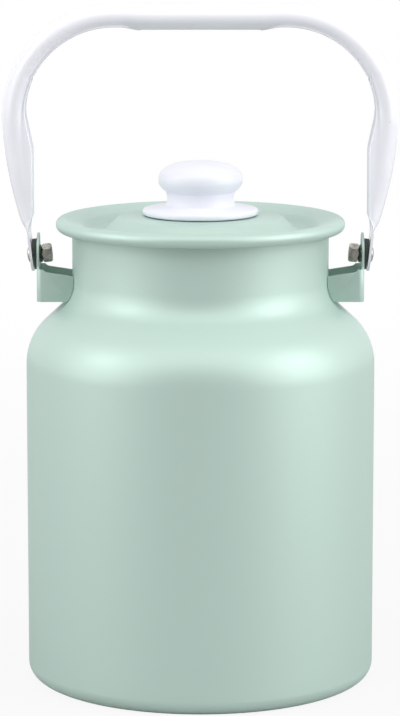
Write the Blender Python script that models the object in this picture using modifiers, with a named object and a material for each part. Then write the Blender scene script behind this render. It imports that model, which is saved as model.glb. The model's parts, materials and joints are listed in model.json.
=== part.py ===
"""Enamelled sheet-steel milk can with a lift-off lid and a swinging bail handle.

Origin: centre of the base, on the surface the can stands on. +Z is up, the handle
pivots lie along X, and the can is seen from -Y. Lengths are in metres.
"""

import math

import bmesh
import bpy
from mathutils import Matrix, Vector

MM = 0.001
DEG = math.pi / 180.0

# Clearances between separate pieces
SEAT_GAP = 0.3 * MM
BOLT_HOLE_CLEARANCE = 0.35 * MM
EAR_HOLE_CLEARANCE = 0.6 * MM

# Can body: one drawn shell of enamelled sheet
BODY_RADIUS = 75.0 * MM
BODY_WALL = 1.0 * MM
BASE_CORNER_RADIUS = 7.0 * MM
FOOT_RING_WIDTH = 12.0 * MM
BASE_RECESS = 1.2 * MM
RECESS_SLOPE_WIDTH = 4.0 * MM
SIDE_HEIGHT = 148.9 * MM  # to where the side and the shoulder cone would meet
SHOULDER_RISE = 18.4 * MM  # from there to where cone and neck would meet
SHOULDER_WIDTH = 20.0 * MM  # neck inside the side
SHOULDER_RADIUS = 25.4 * MM
NECK_BEND_RADIUS = 15.7 * MM
NECK_RISE = 29.4 * MM  # from the shoulder cone to the middle of the rolled mouth
MOUTH_FOLD_RADIUS = 0.4 * MM  # inside the roll
MOUTH_FOLD_TURN = 220.0 * DEG

# Lid: a pressed disc with a rolled edge, a gutter and a raised middle
LID_WALL = 1.0 * MM
LID_OVERHANG = 6.95 * MM  # rolled edge beyond the neck
LID_ROLL_RADIUS = 2.84 * MM
LID_ROLL_END = -112.0 * DEG
BRIM_ANGLE = 20.0 * DEG
GUTTER_DEPTH = 5.5 * MM  # below the top of the rolled edge
GUTTER_MOUTH_CLEARANCE = 3.0 * MM
GUTTER_WALL_WIDTH = 3.5 * MM
GUTTER_FLOOR_WIDTH = 6.1 * MM
GUTTER_BEND_RADIUS = 2.5 * MM
DOME_SLOPE_WIDTH = 6.4 * MM
DOME_RISE = 5.9 * MM
DOME_SHOULDER_RADIUS = 3.0 * MM
KNOB_SEAT_RISE = 0.5 * MM
KNOB_SEAT_MARGIN = 1.2 * MM

# Knob: a solid mushroom on a round flange
KNOB_FLANGE_RADIUS = 24.8 * MM
KNOB_FLANGE_EDGE = 2.6 * MM
KNOB_FLANGE_RISE = 1.5 * MM
KNOB_FLANGE_ROUNDING = 1.15 * MM
KNOB_NECK_RADIUS = 14.8 * MM
KNOB_WAIST_DEPTH = 0.45 * MM
KNOB_CAP_RADIUS = 18.1 * MM
KNOB_CAP_HEIGHT = 14.9 * MM  # of the widest ring above the flange's underside
KNOB_CAP_CROWN = 8.0 * MM
KNOB_CAP_UNDERCUT = 8.5 * MM
KNOB_CROWN_POWER = 2.5

# Threaded insert, screw and washer that hold the knob
SCREW_RADIUS = 2.5 * MM
INSERT_WALL = 1.3 * MM
INSERT_LENGTH = 10.0 * MM
SCREW_HEAD_RADIUS = 4.75 * MM
SCREW_HEAD_HEIGHT = 2.8 * MM
SCREW_HEAD_ROUNDING = 1.0 * MM
SCREW_REACH = 8.5 * MM  # into the insert
SCREW_WASHER_MARGIN = 0.6 * MM
SCREW_WASHER_THICKNESS = 1.0 * MM
SLOT_WIDTH = 1.1 * MM
SLOT_DEPTH = 0.6 * MM

# Handle brackets: a bent strap with its two ends on the neck and an ear at the bend
BRACKET_REACH = 14.95 * MM  # ear's outer face beyond the neck
BRACKET_WIDTH = 22.0 * MM
BRACKET_SHEET = 0.9 * MM
BRACKET_BEND_RADIUS = 2.2 * MM
BRACKET_DROP = 1.7 * MM  # below the corner between shoulder and neck
BRACKET_HEIGHT_OUT = 13.0 * MM
BRACKET_HEIGHT_IN = 10.6 * MM
BRACKET_FILLET = 3.0 * MM
PIVOT_RISE = 19.4 * MM  # above the bracket's lower edge
EAR_RADIUS = 9.1 * MM
EAR_FILLET = 1.5 * MM

# Pivots: a bolt through the handle's end, a wedge washer, the ear, a washer and a nut
TAB_LEAN = 6.0 * DEG
TAB_RADIUS = 7.5 * MM
OUTER_WASHER_RADIUS = 6.6 * MM
OUTER_WASHER_THICKNESS = 1.4 * MM  # at its middle
INNER_WASHER_RADIUS = 3.8 * MM
INNER_WASHER_THICKNESS = 0.7 * MM
BOLT_RADIUS = 2.0 * MM
BOLT_HEAD_RADIUS = 3.4 * MM
BOLT_HEAD_HEIGHT = 1.0 * MM
BOLT_END_SETBACK = 0.3 * MM  # inside the nut's far face
NUT_ACROSS_FLATS = 7.0 * MM
NUT_LENGTH = 4.1 * MM
NUT_CHAMFER = 0.7 * MM

# Bail handle: a pressed channel, nearly closed at the grip and flat at its ends
BAIL_SHEET = 1.1 * MM
BAIL_RISE = 107.2 * MM  # top of the grip above the pivots
BAIL_SPREAD = 14.85 * MM  # widest point beyond the ear's outer face
BAIL_CORNER_RADIUS = 48.3 * MM
BAIL_CORNER_OVERTURN = 4.0 * DEG
ARM_END_RISE = 14.8 * MM  # lower end of the arm's long curve above the pivots
ARM_END_OFFSET = 2.4 * MM  # its outer face beyond that of the flat end
ARM_END_LEAN = 17.5 * DEG
TAB_TOP_RISE = 7.9 * MM  # upper end of the flat above the pivots
GRIP_HALF_LENGTH = 25.0 * MM
GRIP_BLEND_LENGTH = 9.0 * MM
GRIP_DEPTH = 11.2 * MM
GRIP_HALF_WIDTH = 10.0 * MM
GRIP_CLOSE = 163.0 * DEG
CORNER_DEPTH = 9.6 * MM
CORNER_HALF_WIDTH = 9.0 * MM
CORNER_CLOSE = 126.0 * DEG
ARM_DEPTH = 11.6 * MM
ARM_HALF_WIDTH = 8.5 * MM
ARM_CLOSE = 105.0 * DEG
ARM_LOW_CLOSE = 76.0 * DEG
CORNER_LIP_SHARE = 0.08
ARM_LIP_SHARE = 0.3
LIP_FLARE_SHARE = 0.2
ARM_BLEND_SHARES = (-0.2, 0.25)  # of the way down from the corner, where its section changes
ARM_NARROWING_SHARES = (0.3, 0.7)

# Overruns of cutting tools past what they cut
CUT_OVERRUN = 5.0 * MM

# Facets
TURN_STEPS = 40
KNOB_STEPS = 32
SMALL_STEPS = 20
BEND_STEP = 16.0 * DEG
LID_BEND_STEP = 24.0 * DEG
TIGHT_BEND_STEP = 37.0 * DEG
ARM_BEND_STEP = 9.5 * DEG
ARM_STEPS = 8
ARM_FOOT_STEPS = 5
TAB_END_STEPS = 4
TAB_END_TURN = 76.0 * DEG  # of the rounded end, down to its blunt tip
MERGE = 0.00001

# Heights and places that follow from the sizes above
NECK_RADIUS = BODY_RADIUS - SHOULDER_WIDTH
SHOULDER_TOP = SIDE_HEIGHT + SHOULDER_RISE
MOUTH_HEIGHT = SHOULDER_TOP + NECK_RISE
MOUTH_ROLL_RADIUS = MOUTH_FOLD_RADIUS + BODY_WALL
MOUTH_ROLL_CENTRE = NECK_RADIUS + MOUTH_FOLD_RADIUS
MOUTH_BORE = NECK_RADIUS - BODY_WALL
LID_RADIUS = NECK_RADIUS + LID_OVERHANG
EAR_FACE = NECK_RADIUS + BRACKET_REACH
EAR_MIDDLE = EAR_FACE - BRACKET_SHEET / 2
BRACKET_BOTTOM = SHOULDER_TOP - BRACKET_DROP
PIVOT_HEIGHT = BRACKET_BOTTOM + PIVOT_RISE
TAB_INNER_FACE = (EAR_MIDDLE + BRACKET_SHEET / 2 / math.cos(TAB_LEAN)
                  + OUTER_WASHER_THICKNESS + 2 * SEAT_GAP)


def arc(centre, radius, start, end, step):
    """Points of an arc in the (r, z) plane, both ends included."""
    count = max(2, math.ceil(abs(end - start) / step))
    angles = [start + (end - start) * i / count for i in range(count + 1)]
    return [(centre[0] + radius * math.cos(a), centre[1] + radius * math.sin(a)) for a in angles]


def rounded(corners, step):
    """A polyline through (r, z, fillet radius) corners, with its inner corners rounded."""
    points = [corners[0][:2]]
    for before, corner, after in zip(corners, corners[1:], corners[2:]):
        here = Vector(corner[:2])
        to_before = Vector(before[:2]) - here
        to_after = Vector(after[:2]) - here
        turn = math.pi - to_before.angle(to_after)
        if corner[2] == 0 or turn < MERGE:
            points.append(tuple(here))
            continue
        reach = corner[2] * math.tan(turn / 2)
        reach = min(reach, to_before.length / 2, to_after.length / 2)
        radius = reach / math.tan(turn / 2)
        start = here + to_before.normalized() * reach
        middle = (to_before.normalized() + to_after.normalized()).normalized()
        centre = here + middle * (radius / math.cos(turn / 2))
        first = math.atan2(start.y - centre.y, start.x - centre.x)
        side = to_before.x * to_after.y - to_before.y * to_after.x
        points += arc(centre, radius, first, first + math.copysign(turn, -side), step)
    points.append(corners[-1][:2])
    return points


def collection(name):
    """A new collection in the scene."""
    made = bpy.data.collections.new(name)
    bpy.context.scene.collection.children.link(made)
    return made


def make_material(name, colour, roughness, metallic):
    """A Principled material."""
    made = bpy.data.materials.new(name)
    made.use_nodes = True
    shader = made.node_tree.nodes["Principled BSDF"]
    shader.inputs["Base Color"].default_value = (*colour, 1.0)
    shader.inputs["Roughness"].default_value = roughness
    shader.inputs["Metallic"].default_value = metallic
    made.diffuse_color = (*colour, 1.0)
    return made


def new_object(name, mesh, owner, parent=None):
    """An object in a collection, optionally under a parent."""
    made = bpy.data.objects.new(name, mesh)
    owner.objects.link(made)
    made.parent = parent
    return made


def new_empty(name, height, parent=None):
    """An empty on the can's axis that carries the pieces of one moving body."""
    made = new_object(name, None, parts, parent)
    made.location = (0, 0, height)
    return made


def turned(name, points, steps, owner, wall=0, parent=None, closed=False):
    """A profile of (r, z) points turned about Z, thickened inwards where it has a wall."""
    count = len(points)
    edges = [(i, i + 1) for i in range(count - 1)]
    if closed:
        edges.append((count - 1, 0))
    mesh = bpy.data.meshes.new(name)
    mesh.from_pydata([(r, 0, z) for r, z in points], edges, [])
    made = new_object(name, mesh, owner, parent)
    screw = made.modifiers.new("Turn", "SCREW")
    screw.axis = "Z"
    screw.angle = 2 * math.pi
    screw.steps = steps
    screw.render_steps = steps
    screw.use_merge_vertices = True
    screw.merge_threshold = MERGE
    screw.use_smooth_shade = True
    if wall:
        shell = made.modifiers.new("Wall", "SOLIDIFY")
        shell.thickness = wall
        shell.offset = -1
        shell.use_even_offset = True
        shell.use_quality_normals = True
    return made


def evaluated_mesh(made):
    """The object's mesh with its modifiers applied, welded at caps and seams."""
    bpy.context.view_layer.update()
    graph = bpy.context.evaluated_depsgraph_get()
    mesh = bpy.data.meshes.new_from_object(made.evaluated_get(graph))
    work = bmesh.new()
    work.from_mesh(mesh)
    bmesh.ops.remove_doubles(work, verts=work.verts, dist=MERGE)
    work.to_mesh(mesh)
    work.free()
    return mesh


def plate(name, outline, thickness, frame, owner):
    """A flat outline, in the frame's x and y, as thick as given about its plane."""
    curve = bpy.data.curves.new(name, "CURVE")
    curve.dimensions = "2D"
    curve.fill_mode = "BOTH"
    curve.extrude = thickness / 2
    spline = curve.splines.new("POLY")
    spline.points.add(len(outline) - 1)
    for point, (x, y) in zip(spline.points, outline):
        point.co = (x, y, 0, 1)
    spline.use_cyclic_u = True
    drawn = new_object(name + "_outline", curve, owner)
    mesh = evaluated_mesh(drawn)
    bpy.data.objects.remove(drawn)
    made = new_object(name, mesh, owner)
    made.matrix_world = frame
    return made


def as_cutter(made):
    """Mark an object as a cutting tool."""
    made.hide_render = True
    made.display_type = "WIRE"
    return made


def combine(made, other, operation="DIFFERENCE"):
    """Cut an object with another, or keep what both share."""
    change = made.modifiers.new(other.name, "BOOLEAN")
    change.operation = operation
    change.object = other


def fixed_copy(made, name, origin, owner):
    """A mesh-only object from a built one, with its own origin, replacing it."""
    mesh = evaluated_mesh(made)
    mesh.transform(Matrix.Translation(-origin) @ made.matrix_world)
    bpy.data.objects.remove(made)
    done = new_object(name, mesh, owner)
    done.location = origin
    return done


def body_outline(grow=0):
    """Outer line of the can from the neck down to the foot ring, grown outwards."""
    slope = math.atan2(BODY_RADIUS - NECK_RADIUS, SHOULDER_RISE)
    lift = grow * math.tan(slope / 2)
    corners = [
        (NECK_RADIUS + grow, MOUTH_HEIGHT, 0),
        (NECK_RADIUS + grow, SHOULDER_TOP + lift, NECK_BEND_RADIUS - grow),
        (BODY_RADIUS + grow, SIDE_HEIGHT + lift, SHOULDER_RADIUS + grow),
        (BODY_RADIUS + grow, -grow, BASE_CORNER_RADIUS + grow),
        (BODY_RADIUS - BASE_CORNER_RADIUS - FOOT_RING_WIDTH, -grow, 0),
    ]
    return rounded(corners, BEND_STEP)


def build_body():
    """The can: rolled mouth, neck, shoulder, side and recessed base in one shell."""
    fold_end = math.pi - MOUTH_FOLD_TURN
    profile = arc((MOUTH_ROLL_CENTRE, MOUTH_HEIGHT), MOUTH_FOLD_RADIUS, fold_end, math.pi,
                  TIGHT_BEND_STEP)
    profile += body_outline()[1:]
    recess_radius = profile[-1][0] - RECESS_SLOPE_WIDTH
    profile.append((recess_radius, BASE_RECESS))
    profile.append((0, BASE_RECESS))
    return turned("body_shell", profile, TURN_STEPS, parts, wall=BODY_WALL)


def build_bracket(name, hand):
    """A bent strap on the neck; hand is 1 on the right and -1 on the left."""
    half = BRACKET_WIDTH / 2
    inside = half - BRACKET_SHEET
    bend_in = BRACKET_BEND_RADIUS - BRACKET_SHEET
    outer = rounded([(0, -half, 0), (EAR_FACE, -half, BRACKET_BEND_RADIUS),
                     (EAR_FACE, half, BRACKET_BEND_RADIUS), (0, half, 0)], TIGHT_BEND_STEP)
    ear_back = EAR_FACE - BRACKET_SHEET
    inner = rounded([(0, inside, 0), (ear_back, inside, bend_in),
                     (ear_back, -inside, bend_in), (0, -inside, 0)], TIGHT_BEND_STEP)
    ear_top = PIVOT_HEIGHT + EAR_RADIUS
    middle = (BRACKET_BOTTOM + ear_top) / 2
    strap = plate(name + "_strap", outer + inner, ear_top - BRACKET_BOTTOM,
                  Matrix.Translation((0, 0, middle)), parts)

    can = body_outline(SEAT_GAP)
    can_solid = as_cutter(turned(name + "_can_cut", [(0, ear_top + CUT_OVERRUN),
                                 (can[0][0], ear_top + CUT_OVERRUN)] + can[1:]
                                 + [(0, can[-1][1])], TURN_STEPS, cutters))
    combine(strap, can_solid)

    wall_out = BRACKET_BOTTOM + BRACKET_HEIGHT_OUT
    wall_in = BRACKET_BOTTOM + BRACKET_HEIGHT_IN
    rise_end = EAR_FACE - BRACKET_BEND_RADIUS
    slope = (wall_out - wall_in) / BRACKET_REACH
    axis_height = wall_in - slope * NECK_RADIUS
    over_top = ear_top + CUT_OVERRUN
    trim = rounded([(-CUT_OVERRUN, axis_height, 0), (rise_end, wall_out, BRACKET_FILLET),
                    (rise_end, over_top, 0), (-CUT_OVERRUN, over_top, 0)], TIGHT_BEND_STEP)
    side_view = Matrix.Rotation(math.pi / 2, 4, "X")
    top_cut = as_cutter(plate(name + "_top_cut", trim, BRACKET_WIDTH + CUT_OVERRUN,
                              side_view, cutters))
    combine(strap, top_cut)

    beside = half + CUT_OVERRUN
    ear_foot = wall_out + EAR_FILLET / 2
    ear = arc((0, PIVOT_HEIGHT), EAR_RADIUS, math.pi, 0, BEND_STEP)
    left_line = rounded([(-beside, ear_foot, 0), (-EAR_RADIUS, ear_foot, EAR_FILLET),
                         (-EAR_RADIUS, PIVOT_HEIGHT, 0)], TIGHT_BEND_STEP)
    right_line = [(-y, z) for y, z in reversed(left_line)]
    around = left_line[:-1] + ear + right_line[1:] + [(beside, over_top), (-beside, over_top)]
    front_view = Matrix(((0, 0, 1, EAR_MIDDLE), (1, 0, 0, 0), (0, 1, 0, 0), (0, 0, 0, 1)))
    ear_cut = as_cutter(plate(name + "_ear_cut", around, 2 * BRACKET_BEND_RADIUS + CUT_OVERRUN,
                              front_view, cutters))
    combine(strap, ear_cut)

    hole = arc((0, PIVOT_HEIGHT), BOLT_RADIUS + EAR_HOLE_CLEARANCE, 0, 2 * math.pi,
               2 * math.pi / SMALL_STEPS)[:-1]
    hole_cut = as_cutter(plate(name + "_hole_cut", hole, CUT_OVERRUN, front_view, cutters))
    combine(strap, hole_cut)

    done = fixed_copy(strap, name, Vector((0, 0, 0)), parts)
    if hand < 0:
        done.rotation_euler.z = math.pi
    return done


def brim_line():
    """A point of the brim's top face above its seat on the rolled mouth, from the mouth's height."""
    offset = MOUTH_ROLL_RADIUS + SEAT_GAP + LID_WALL
    return (MOUTH_ROLL_CENTRE - offset * math.sin(BRIM_ANGLE), offset * math.cos(BRIM_ANGLE))


def lid_heights():
    """Heights above the mouth of the rolled edge's centre, gutter floor, dome edge and knob seat."""
    seat_r, seat_z = brim_line()
    roll_centre = LID_RADIUS - LID_ROLL_RADIUS
    run = roll_centre - LID_ROLL_RADIUS * math.sin(BRIM_ANGLE) - seat_r
    roll = seat_z + run * math.tan(BRIM_ANGLE) - LID_ROLL_RADIUS * math.cos(BRIM_ANGLE)
    gutter = roll + LID_ROLL_RADIUS - GUTTER_DEPTH
    dome = gutter + DOME_RISE
    return roll, gutter, dome, dome + KNOB_SEAT_RISE


def build_lid(parent):
    """The lid, from the screw hole over the dome, the gutter and the brim to the rolled edge."""
    seat_r, seat_z = brim_line()
    roll, gutter, dome, knob_seat = lid_heights()
    roll_centre = LID_RADIUS - LID_ROLL_RADIUS
    wall_top = MOUTH_BORE - GUTTER_MOUTH_CLEARANCE
    wall_foot = wall_top - GUTTER_WALL_WIDTH
    dome_foot = wall_foot - GUTTER_FLOOR_WIDTH
    dome_edge = dome_foot - DOME_SLOPE_WIDTH
    brim_low = seat_z - (seat_r - wall_top) * math.tan(BRIM_ANGLE)
    roll_start = math.pi / 2 + BRIM_ANGLE
    edge = arc((roll_centre, roll), LID_ROLL_RADIUS, roll_start, LID_ROLL_END, TIGHT_BEND_STEP)
    corners = [
        (SCREW_RADIUS + BOLT_HOLE_CLEARANCE, knob_seat, 0),
        (KNOB_FLANGE_RADIUS + KNOB_SEAT_MARGIN, knob_seat, 0),
        (dome_edge, dome, DOME_SHOULDER_RADIUS),
        (dome_foot, gutter, GUTTER_BEND_RADIUS),
        (wall_foot, gutter, GUTTER_BEND_RADIUS),
        (wall_top, brim_low, GUTTER_BEND_RADIUS),
        (*edge[0], 0),
    ]
    profile = rounded(corners, LID_BEND_STEP) + edge[1:]
    return turned("lid_shell", profile, TURN_STEPS, parts, wall=LID_WALL, parent=parent)


def build_knob(parent):
    """The knob, turned from its crown down to its flat underside, with the insert's bore."""
    crown_steps = 7
    share = 2 / KNOB_CROWN_POWER
    profile = []
    for i in range(crown_steps + 1):
        angle = math.pi / 2 * i / crown_steps
        r = KNOB_CAP_RADIUS * math.sin(angle) ** share
        z = KNOB_CAP_HEIGHT + KNOB_CAP_CROWN * max(0, math.cos(angle)) ** share
        profile.append((r, z))
    undercut_end = math.acos(KNOB_NECK_RADIUS / KNOB_CAP_RADIUS)
    undercut_steps = 3
    for i in range(1, undercut_steps + 1):
        angle = undercut_end * i / undercut_steps
        profile.append((KNOB_CAP_RADIUS * math.cos(angle),
                        KNOB_CAP_HEIGHT - KNOB_CAP_UNDERCUT * math.sin(angle)))
    neck_top = profile[-1][1]
    neck_foot = KNOB_FLANGE_EDGE + KNOB_FLANGE_RISE
    neck_steps = 4
    for i in range(1, neck_steps):
        part = i / neck_steps
        profile.append((KNOB_NECK_RADIUS - KNOB_WAIST_DEPTH * math.sin(math.pi * part),
                        neck_top + (neck_foot - neck_top) * part))
    profile += rounded([
        (KNOB_NECK_RADIUS, neck_foot, 0),
        (KNOB_FLANGE_RADIUS, KNOB_FLANGE_EDGE, KNOB_FLANGE_ROUNDING),
        (KNOB_FLANGE_RADIUS, 0, KNOB_FLANGE_ROUNDING),
        (insert_radius() + SEAT_GAP, 0, 0),
    ], TIGHT_BEND_STEP)
    bore_top = INSERT_LENGTH + SEAT_GAP
    profile.append((insert_radius() + SEAT_GAP, bore_top))
    profile.append((0, bore_top))
    return turned("knob", profile, KNOB_STEPS, parts, parent=parent)


def insert_radius():
    """Outer radius of the threaded insert."""
    return SCREW_RADIUS + SEAT_GAP + INSERT_WALL


def build_knob_fixings(parent):
    """Threaded insert in the knob, with the screw and washer below the lid."""
    bore = SCREW_RADIUS + SEAT_GAP
    insert = [(bore, INSERT_LENGTH), (insert_radius(), INSERT_LENGTH), (insert_radius(), 0), (bore, 0)]
    turned("knob_insert", insert, SMALL_STEPS, parts, parent=parent, closed=True)

    washer_top = -SEAT_GAP - LID_WALL - SEAT_GAP
    washer_low = washer_top - SCREW_WASHER_THICKNESS
    washer_radius = SCREW_HEAD_RADIUS + SCREW_WASHER_MARGIN
    washer_bore = SCREW_RADIUS + BOLT_HOLE_CLEARANCE
    washer = [(washer_bore, washer_top), (washer_radius, washer_top),
              (washer_radius, washer_low), (washer_bore, washer_low)]
    turned("knob_screw_washer", washer, SMALL_STEPS, parts, parent=parent, closed=True)

    head_top = washer_low - SEAT_GAP
    head_low = head_top - SCREW_HEAD_HEIGHT
    profile = rounded([
        (0, SCREW_REACH, 0),
        (SCREW_RADIUS, SCREW_REACH, 0),
        (SCREW_RADIUS, head_top, 0),
        (SCREW_HEAD_RADIUS, head_top, 0),
        (SCREW_HEAD_RADIUS, head_low, SCREW_HEAD_ROUNDING),
        (0, head_low, 0),
    ], TIGHT_BEND_STEP)
    screw = turned("knob_screw", profile, SMALL_STEPS, parts, parent=parent)
    cut = slot_cutter("knob_screw_slot", SCREW_HEAD_RADIUS)
    cut.parent = parent
    cut.location.z = head_low
    combine(screw, cut)


def slot_cutter(name, head_radius):
    """A bar that cuts a driver slot into a head's face at z = 0, as deep below as above."""
    mesh = bpy.data.meshes.new(name)
    work = bmesh.new()
    bmesh.ops.create_cube(work, size=1)
    size = (2 * head_radius + CUT_OVERRUN, SLOT_WIDTH, 2 * SLOT_DEPTH)
    bmesh.ops.scale(work, vec=size, verts=work.verts)
    work.to_mesh(mesh)
    work.free()
    return as_cutter(new_object(name, mesh, cutters))


def pivot_frame():
    """Frame of the right pivot: its z runs out along the bolt, which leans with the handle's end."""
    place = Matrix.Translation((EAR_MIDDLE, 0, PIVOT_HEIGHT))
    return place @ Matrix.Rotation(math.pi / 2 + TAB_LEAN, 4, "Y")


def pivot_depths():
    """Places along the bolt, from the ear's middle: tab's inner face, washer seats and nut face."""
    tab_inner = (TAB_INNER_FACE - EAR_MIDDLE) * math.cos(TAB_LEAN)
    ear_half = BRACKET_SHEET / 2 / math.cos(TAB_LEAN)
    nut_face = -(ear_half + SEAT_GAP + INNER_WASHER_THICKNESS + SEAT_GAP)
    return tab_inner, nut_face


def build_pivot_bolt():
    """Low round-headed bolt of the right pivot."""
    tab_inner, nut_face = pivot_depths()
    head_seat = tab_inner + BAIL_SHEET + SEAT_GAP
    bolt_end = nut_face - NUT_LENGTH + BOLT_END_SETBACK
    dome_steps = 4
    profile = []
    for i in range(dome_steps + 1):
        angle = math.pi / 2 * i / dome_steps
        profile.append((BOLT_HEAD_RADIUS * math.sin(angle),
                        head_seat + BOLT_HEAD_HEIGHT * math.cos(angle)))
    profile += [(BOLT_RADIUS, head_seat), (BOLT_RADIUS, bolt_end), (0, bolt_end)]
    bolt = turned("bolt", profile, SMALL_STEPS, parts)
    bolt.matrix_world = pivot_frame()
    cut = slot_cutter("bolt_slot", BOLT_HEAD_RADIUS)
    cut.matrix_world = pivot_frame() @ Matrix.Translation((0, 0, head_seat + BOLT_HEAD_HEIGHT))
    combine(bolt, cut)
    return bolt


def build_washer(name, radius, near, far, ear_side):
    """A ring from near to far along the bolt, cut flat where it lies on the ear.

    ear_side is 1 for the ring outside the ear and -1 for the one inside it.
    """
    bore = BOLT_RADIUS + BOLT_HOLE_CLEARANCE
    ring = [(bore, near), (radius, near), (radius, far), (bore, far)]
    made = turned(name, ring, SMALL_STEPS, parts, closed=True)
    made.matrix_world = pivot_frame()
    size = 2 * radius + CUT_OVERRUN
    mesh = bpy.data.meshes.new(name + "_cut")
    work = bmesh.new()
    bmesh.ops.create_cube(work, size=1)
    bmesh.ops.scale(work, vec=(size, size, size), verts=work.verts)
    work.to_mesh(mesh)
    work.free()
    block = as_cutter(new_object(name + "_cut", mesh, cutters))
    face = EAR_MIDDLE + ear_side * (BRACKET_SHEET / 2 + SEAT_GAP)
    block.location = (face - ear_side * size / 2, 0, PIVOT_HEIGHT)
    combine(made, block)
    return made


def build_nut():
    """Hexagon nut with chamfered ends, a corner up and a flat towards the front."""
    nut_face = pivot_depths()[1]
    frame = pivot_frame()
    middle = nut_face - NUT_LENGTH / 2
    corner = NUT_ACROSS_FLATS / 2 / math.cos(math.pi / 6)
    hexagon = [(corner * math.cos(math.pi / 3 * i), corner * math.sin(math.pi / 3 * i))
               for i in range(6)]
    prism = plate("nut", hexagon, NUT_LENGTH, frame @ Matrix.Translation((0, 0, middle)), parts)
    end_radius = NUT_ACROSS_FLATS / 2
    far = nut_face - NUT_LENGTH
    ends = [(end_radius, nut_face), (corner, nut_face - NUT_CHAMFER),
            (corner, far + NUT_CHAMFER), (end_radius, far)]
    bore = BOLT_RADIUS + SEAT_GAP
    barrel = as_cutter(turned("nut_ends", [(bore, nut_face)] + ends + [(bore, far)],
                              SMALL_STEPS, cutters, closed=True))
    barrel.matrix_world = frame
    combine(prism, barrel, "INTERSECT")
    return prism


def build_pivots(parent):
    """The bolt, washers and nut of both pivots; the left set is the right one turned half round."""
    tab_inner, nut_face = pivot_depths()
    built = {
        "pivot_bolt": build_pivot_bolt(),
        "outer_washer": build_washer("outer", OUTER_WASHER_RADIUS, tab_inner - SEAT_GAP,
                                     -OUTER_WASHER_RADIUS, 1),
        "inner_washer": build_washer("inner", INNER_WASHER_RADIUS, INNER_WASHER_RADIUS,
                                     nut_face + SEAT_GAP, -1),
        "nut": build_nut(),
    }
    pivot = Vector((EAR_MIDDLE, 0, PIVOT_HEIGHT))
    for kind, piece in built.items():
        right = fixed_copy(piece, "right_" + kind, pivot, parts)
        left = new_object("left_" + kind, right.data, parts)
        left.rotation_euler.z = math.pi
        for made, side in ((right, 1), (left, -1)):
            made.parent = parent
            made.location = (side * EAR_MIDDLE, 0, 0)


def smooth(value, low, high):
    """0 below low, 1 above high and an easy curve between."""
    part = min(1, max(0, (value - low) / (high - low)))
    return part * part * (3 - 2 * part)


def mix(first, second, part):
    """A value between two others."""
    return first + (second - first) * part


def hermite(start, start_way, end, end_way, count):
    """Points of a smooth curve after its start, up to and including its end."""
    reach = (Vector(end) - Vector(start)).length
    points = []
    for i in range(1, count + 1):
        t = i / count
        s = 1 - t
        points.append(s * s * (1 + 2 * t) * Vector(start) + t * s * s * reach * Vector(start_way)
                      + t * t * (1 + 2 * s) * Vector(end) - t * t * s * reach * Vector(end_way))
    return [tuple(p) for p in points]


def downwards(lean):
    """Direction of a line that runs down and leans inwards."""
    return (-math.sin(lean), -math.cos(lean))


def bail_path():
    """Outer line of the bail's right half from the pivots' height, with each stretch's points."""
    widest = EAR_FACE + BAIL_SPREAD
    corner_centre = (widest - BAIL_CORNER_RADIUS, BAIL_RISE - BAIL_CORNER_RADIUS)
    blend_end = GRIP_HALF_LENGTH + GRIP_BLEND_LENGTH
    top = [(GRIP_HALF_LENGTH * i / 2, BAIL_RISE) for i in range(3)]
    top += [(mix(GRIP_HALF_LENGTH, blend_end, i / 3), BAIL_RISE) for i in range(1, 4)]
    top = [point for point in top if point[0] < corner_centre[0] - MERGE]
    corner = arc(corner_centre, BAIL_CORNER_RADIUS, math.pi / 2, -BAIL_CORNER_OVERTURN,
                 ARM_BEND_STEP)
    tab_face = TAB_INNER_FACE + BAIL_SHEET / math.cos(TAB_LEAN)
    tab_slope = math.tan(TAB_LEAN)
    arm_end = (tab_face + ARM_END_RISE * tab_slope + ARM_END_OFFSET, ARM_END_RISE)
    arm = hermite(corner[-1], downwards(BAIL_CORNER_OVERTURN), arm_end,
                  downwards(ARM_END_LEAN), ARM_STEPS)
    tab_top = (tab_face + TAB_TOP_RISE * tab_slope, TAB_TOP_RISE)
    foot = hermite(arm_end, downwards(ARM_END_LEAN), tab_top, downwards(TAB_LEAN),
                   ARM_FOOT_STEPS)
    tab = [(tab_face + TAB_TOP_RISE / 2 * tab_slope, TAB_TOP_RISE / 2), (tab_face, 0)]
    for i in range(1, TAB_END_STEPS + 1):
        below = TAB_RADIUS * math.sin(TAB_END_TURN * i / TAB_END_STEPS)
        tab.append((tab_face - below * math.sin(TAB_LEAN), -below * math.cos(TAB_LEAN)))
    return top, corner, arm, foot, tab


def bail_section(depth, half_width, close, lip_share, flat):
    """Closed outline of the pressed sheet: (inward, sideways) points, outside then inside."""
    oval_steps = 5
    lip = lip_share * depth
    round_depth = (depth - lip) / (1 - math.cos(close))
    half = []
    for i in range(oval_steps + 1):
        angle = close * i / oval_steps
        half.append((round_depth * (1 - math.cos(angle)), half_width * math.sin(angle)))
    end_width = half[-1][1] + LIP_FLARE_SHARE * lip
    half.append((depth, end_width))
    count = len(half) - 1
    half = [(mix(inward, 0, flat), mix(sideways, half_width * i / count, flat))
            for i, (inward, sideways) in enumerate(half)]
    outside = [(inward, -sideways) for inward, sideways in reversed(half)] + half[1:]
    inside = []
    last = len(outside) - 1
    for i, point in enumerate(outside):
        before = Vector(outside[max(0, i - 1)])
        after = Vector(outside[min(last, i + 1)])
        along = (after - before).normalized()
        inside.append((point[0] + BAIL_SHEET * along.y, point[1] - BAIL_SHEET * along.x))
    return outside + inside[::-1]


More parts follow.
